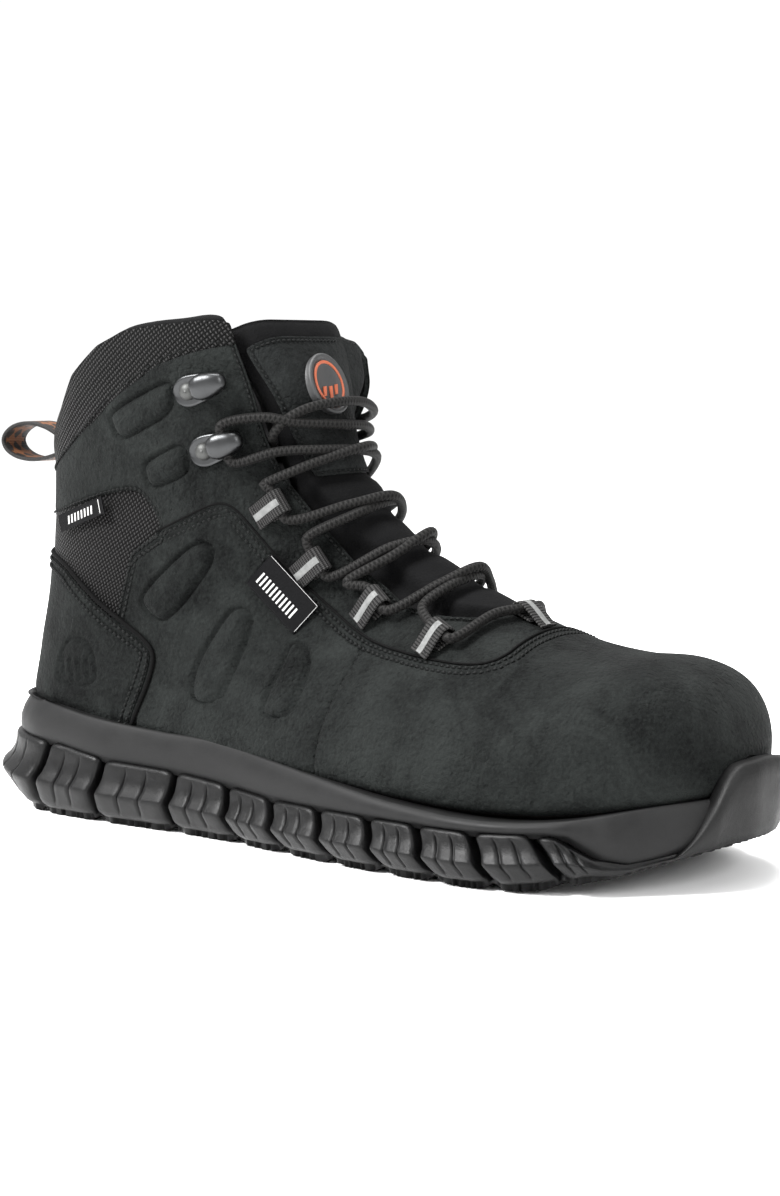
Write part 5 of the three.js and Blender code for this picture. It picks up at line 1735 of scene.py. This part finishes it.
def collar_pad():
    """Padded collar: outer face under the nylon, a soft roll and a quilted inner face."""
    q = np.linspace(0, 1, 170)
    rim = edge_sections(q, RIM)
    low = edge_sections(q, PAD_LOW_EDGE)
    rows, uvs, loose = [], [], []
    ends = np.minimum(1, np.minimum(q, 1 - q) / 0.022)
    ends = np.sqrt(1 - (1 - ends) ** 2) * 0.9 + 0.1
    middle_in = 6.6

    def row(share, inset, rise, length, free):
        loose.append(free * np.clip(np.minimum(q, 1 - q) / 0.03, 0, 1))
        s = rim + (low - rim) * share
        inset = middle_in + (inset - middle_in) * ends
        point = np.stack([on_upper(s[k], round_angle(s[k], q[k]), inset[k])
                          for k in range(len(q))])
        rows.append(point + np.array([0, 0, 1.0]) * (rise * ends)[:, None])
        uvs.append(np.column_stack([np.full(len(q), length), q * 260]))

    ones = np.ones(len(q))
    for share in (1.0, 0.7, 0.4, 0.15, 0.05):
        row(share, 2.7 * ones, 0.0 * ones, -share * 50, 0.0)
    for angle in np.linspace(-0.1, PI + 0.1, 9):
        row(0.02, middle_in - 4.0 * math.cos(angle) * ones + 0.2, 2.2 * math.sin(angle) * ones,
            angle * 4, max(math.sin(angle * 0.5), 0) ** 2)
    for share in np.linspace(0.06, 1.0, 26):
        channel = abs(math.sin(PI * share * COLLAR_CHANNELS))
        row(share, 10.2 + 0.6 * channel * ones, 0.0 * ones, 12 + share * 50,
            min(1.8 * channel, 1) if share > 0.2 else 1)
    ring_count = len(rows)
    stacked = np.stack(rows, 1)
    pile = Pile()
    pile.add(stacked.reshape(-1, 3), tube_faces(len(q), ring_count),
             np.stack(uvs, 1).reshape(-1, 2))
    body = pile.make("collar_pad", LOOKS["lining"], nodes=["collar_pad"])
    swell(body, np.stack(loose, 1).ravel(), 3.0)


def bootie():
    """Smooth inner sock from under the collar pad to the toe."""
    g = Grid(inset=8.0, last=14.2)
    below = follow(PAD_LOW_EDGE, g.x) - g.z
    throat = (np.abs(g.a) - opening_edge(g.s, g.a)) * 30
    throat = np.where(g.s > THROAT_END - 0.2, 5, throat - 1)
    panel("lining_bootie", g, least(below, throat), LOOKS["lining"], 0.0, 1.8, 0.6, sign=-1)


def footbed():
    """Loose padded insole with a raised rim that follows the bootie's floor."""
    rows = np.linspace(7.5, 13.9, 70)
    across = np.linspace(-1, 1, 25)
    s = np.repeat(rows[:, None], len(across), 1)
    a = PI + across[None] * 0.78 + 0 * s
    low = on_upper(s, a, 8.4)
    dish = 4.4 - 0.9 * np.cos(across * PI / 2)[None] + 0.25 * np.sin(s * 9)
    high = low + np.stack([0 * s, 0 * s, dish], -1)
    rings = [np.vstack([one, two[::-1]]) for one, two in zip(low, high)]
    pile = Pile()
    pile.add_tube(rings)
    body = pile.make("footbed", LOOKS["footbed"], body="footbed", nodes=["footbed"])


# ------------------------------------------------------------ labels and pull loop


def cloth_tag(name, place, size, lift, marks, lines, body):
    """Satin label with woven marks and lines: marks and lines are boxes of x and y."""
    length, width = size
    tag, white = Pile(), Pile()
    bow = [(x, lift + 0.5 + 0.12 * math.cos(x * PI / length)) for x in
           np.linspace(-length / 2, length / 2, 9)]
    ribbon(tag, bow, place, width, 0.7)
    for x0, x1, y0, y1, lean in marks + lines:
        corners = [(x0, y0), (x1, y0), (x1 + lean, y1), (x0 + lean, y1)]
        rise = [lift + 0.5 + 0.12 * math.cos(x * PI / length) + 0.3 for x, _ in corners]
        low = [(x, y, z) for (x, y), z in zip(corners, rise)]
        high = [(x, y, z + 0.16) for x, y, z in low]
        white.add(placed(place, low + high), tube_faces(2, 4))
    tag.make(name, LOOKS["satin"], body=body, nodes=[name])
    white.make(name + "_marks", LOOKS["white_thread"], body=body, smooth=False)


def labels():
    place = frame_on((7.46, 0.92), (6.86, 0.72))
    marks = [(-4.0, 0.5, y, y + 0.75, 0.0) for y in np.arange(-8.2, 11.2, 1.8)]
    lines = [(6.54, 6.66, -12.6, 12.6, 0), (-6.0, 6.5, -12.8, -12.68, 0)]
    cloth_tag("seam_label", place, (14, 26.5), 2.4, marks, lines, "seam_label")
    place = frame_on((4.2, 2.14), (4.05, 1.7))
    marks = [(x, x + 0.9, -1.6, 1.4, 0.7) for x in np.arange(-8.5, 7.0, 2.1)]
    lines = [(11.6, 11.9, -2.6, 2.6, 0.2)]
    cloth_tag("ankle_label", place, (28, 6.6), 1.6, marks, lines, "ankle_label")


PULL_LOOP = [(3.2, 1.9), (0, 3.2), (-8, 6.6), (-17, 8), (-25, 6.6), (-29.5, 3.4), (-30.5, 0.8),
             (-29, -2.2), (-24, -5), (-16, -6.2), (-8, -5.4), (0, -3.2),
             (3.2, -1.9)]


def pull_loop():
    place = (np.array([-38.0, 0, 138]), np.array([1.0, 0, 0]), np.array([0, 1.0, 0]),
             np.array([0, 0, 1.0]))
    path = smooth_path([(x, 0, z) for x, z in PULL_LOOP], 10)[:, [0, 2]]
    strap = Pile()
    ribbon(strap, path, place, 13, 1.5)
    strap.make("pull_loop", LOOKS["pull_loop"], body="pull_loop", nodes=["pull_loop"])


# ------------------------------------------------------------ the whole boot


def paint_frame_nodes():
    """Gives each node of the frame that is kept its own procedural material."""
    look_of_slot = {"nubuck": "nubuck", "nylon": "lining", "lining": "lining", "foam": "footbed",
                    "webbing": "thread", "lace": "lace", "rubber": "rubber",
                    "midsole": "midsole", "steel": "steel", "board": "board",
                    "gunmetal": "gunmetal", "badge": "badge", "plastic": "plastic"}
    for part in frame["record"]["subparts"]:
        node = frame["nodes"][part["node"]]
        node.data.materials.clear()
        node.data.materials.append(LOOKS[look_of_slot[part["material_slot"]]])


def build():
    set_camera()
    set_studio()
    set_floor()
    paint_frame_nodes()
    upper = Upper()
    upper_panels(upper)
    upper_stitching(upper)
    cut_edges(upper)
    ring = SoleRing()
    outsole(ring)
    midsole(ring)
    toe_bumper(ring)
    hardware()
    lace()
    tongue(upper)
    collar_pad()
    bootie()
    footbed()
    labels()
    pull_loop()


build()
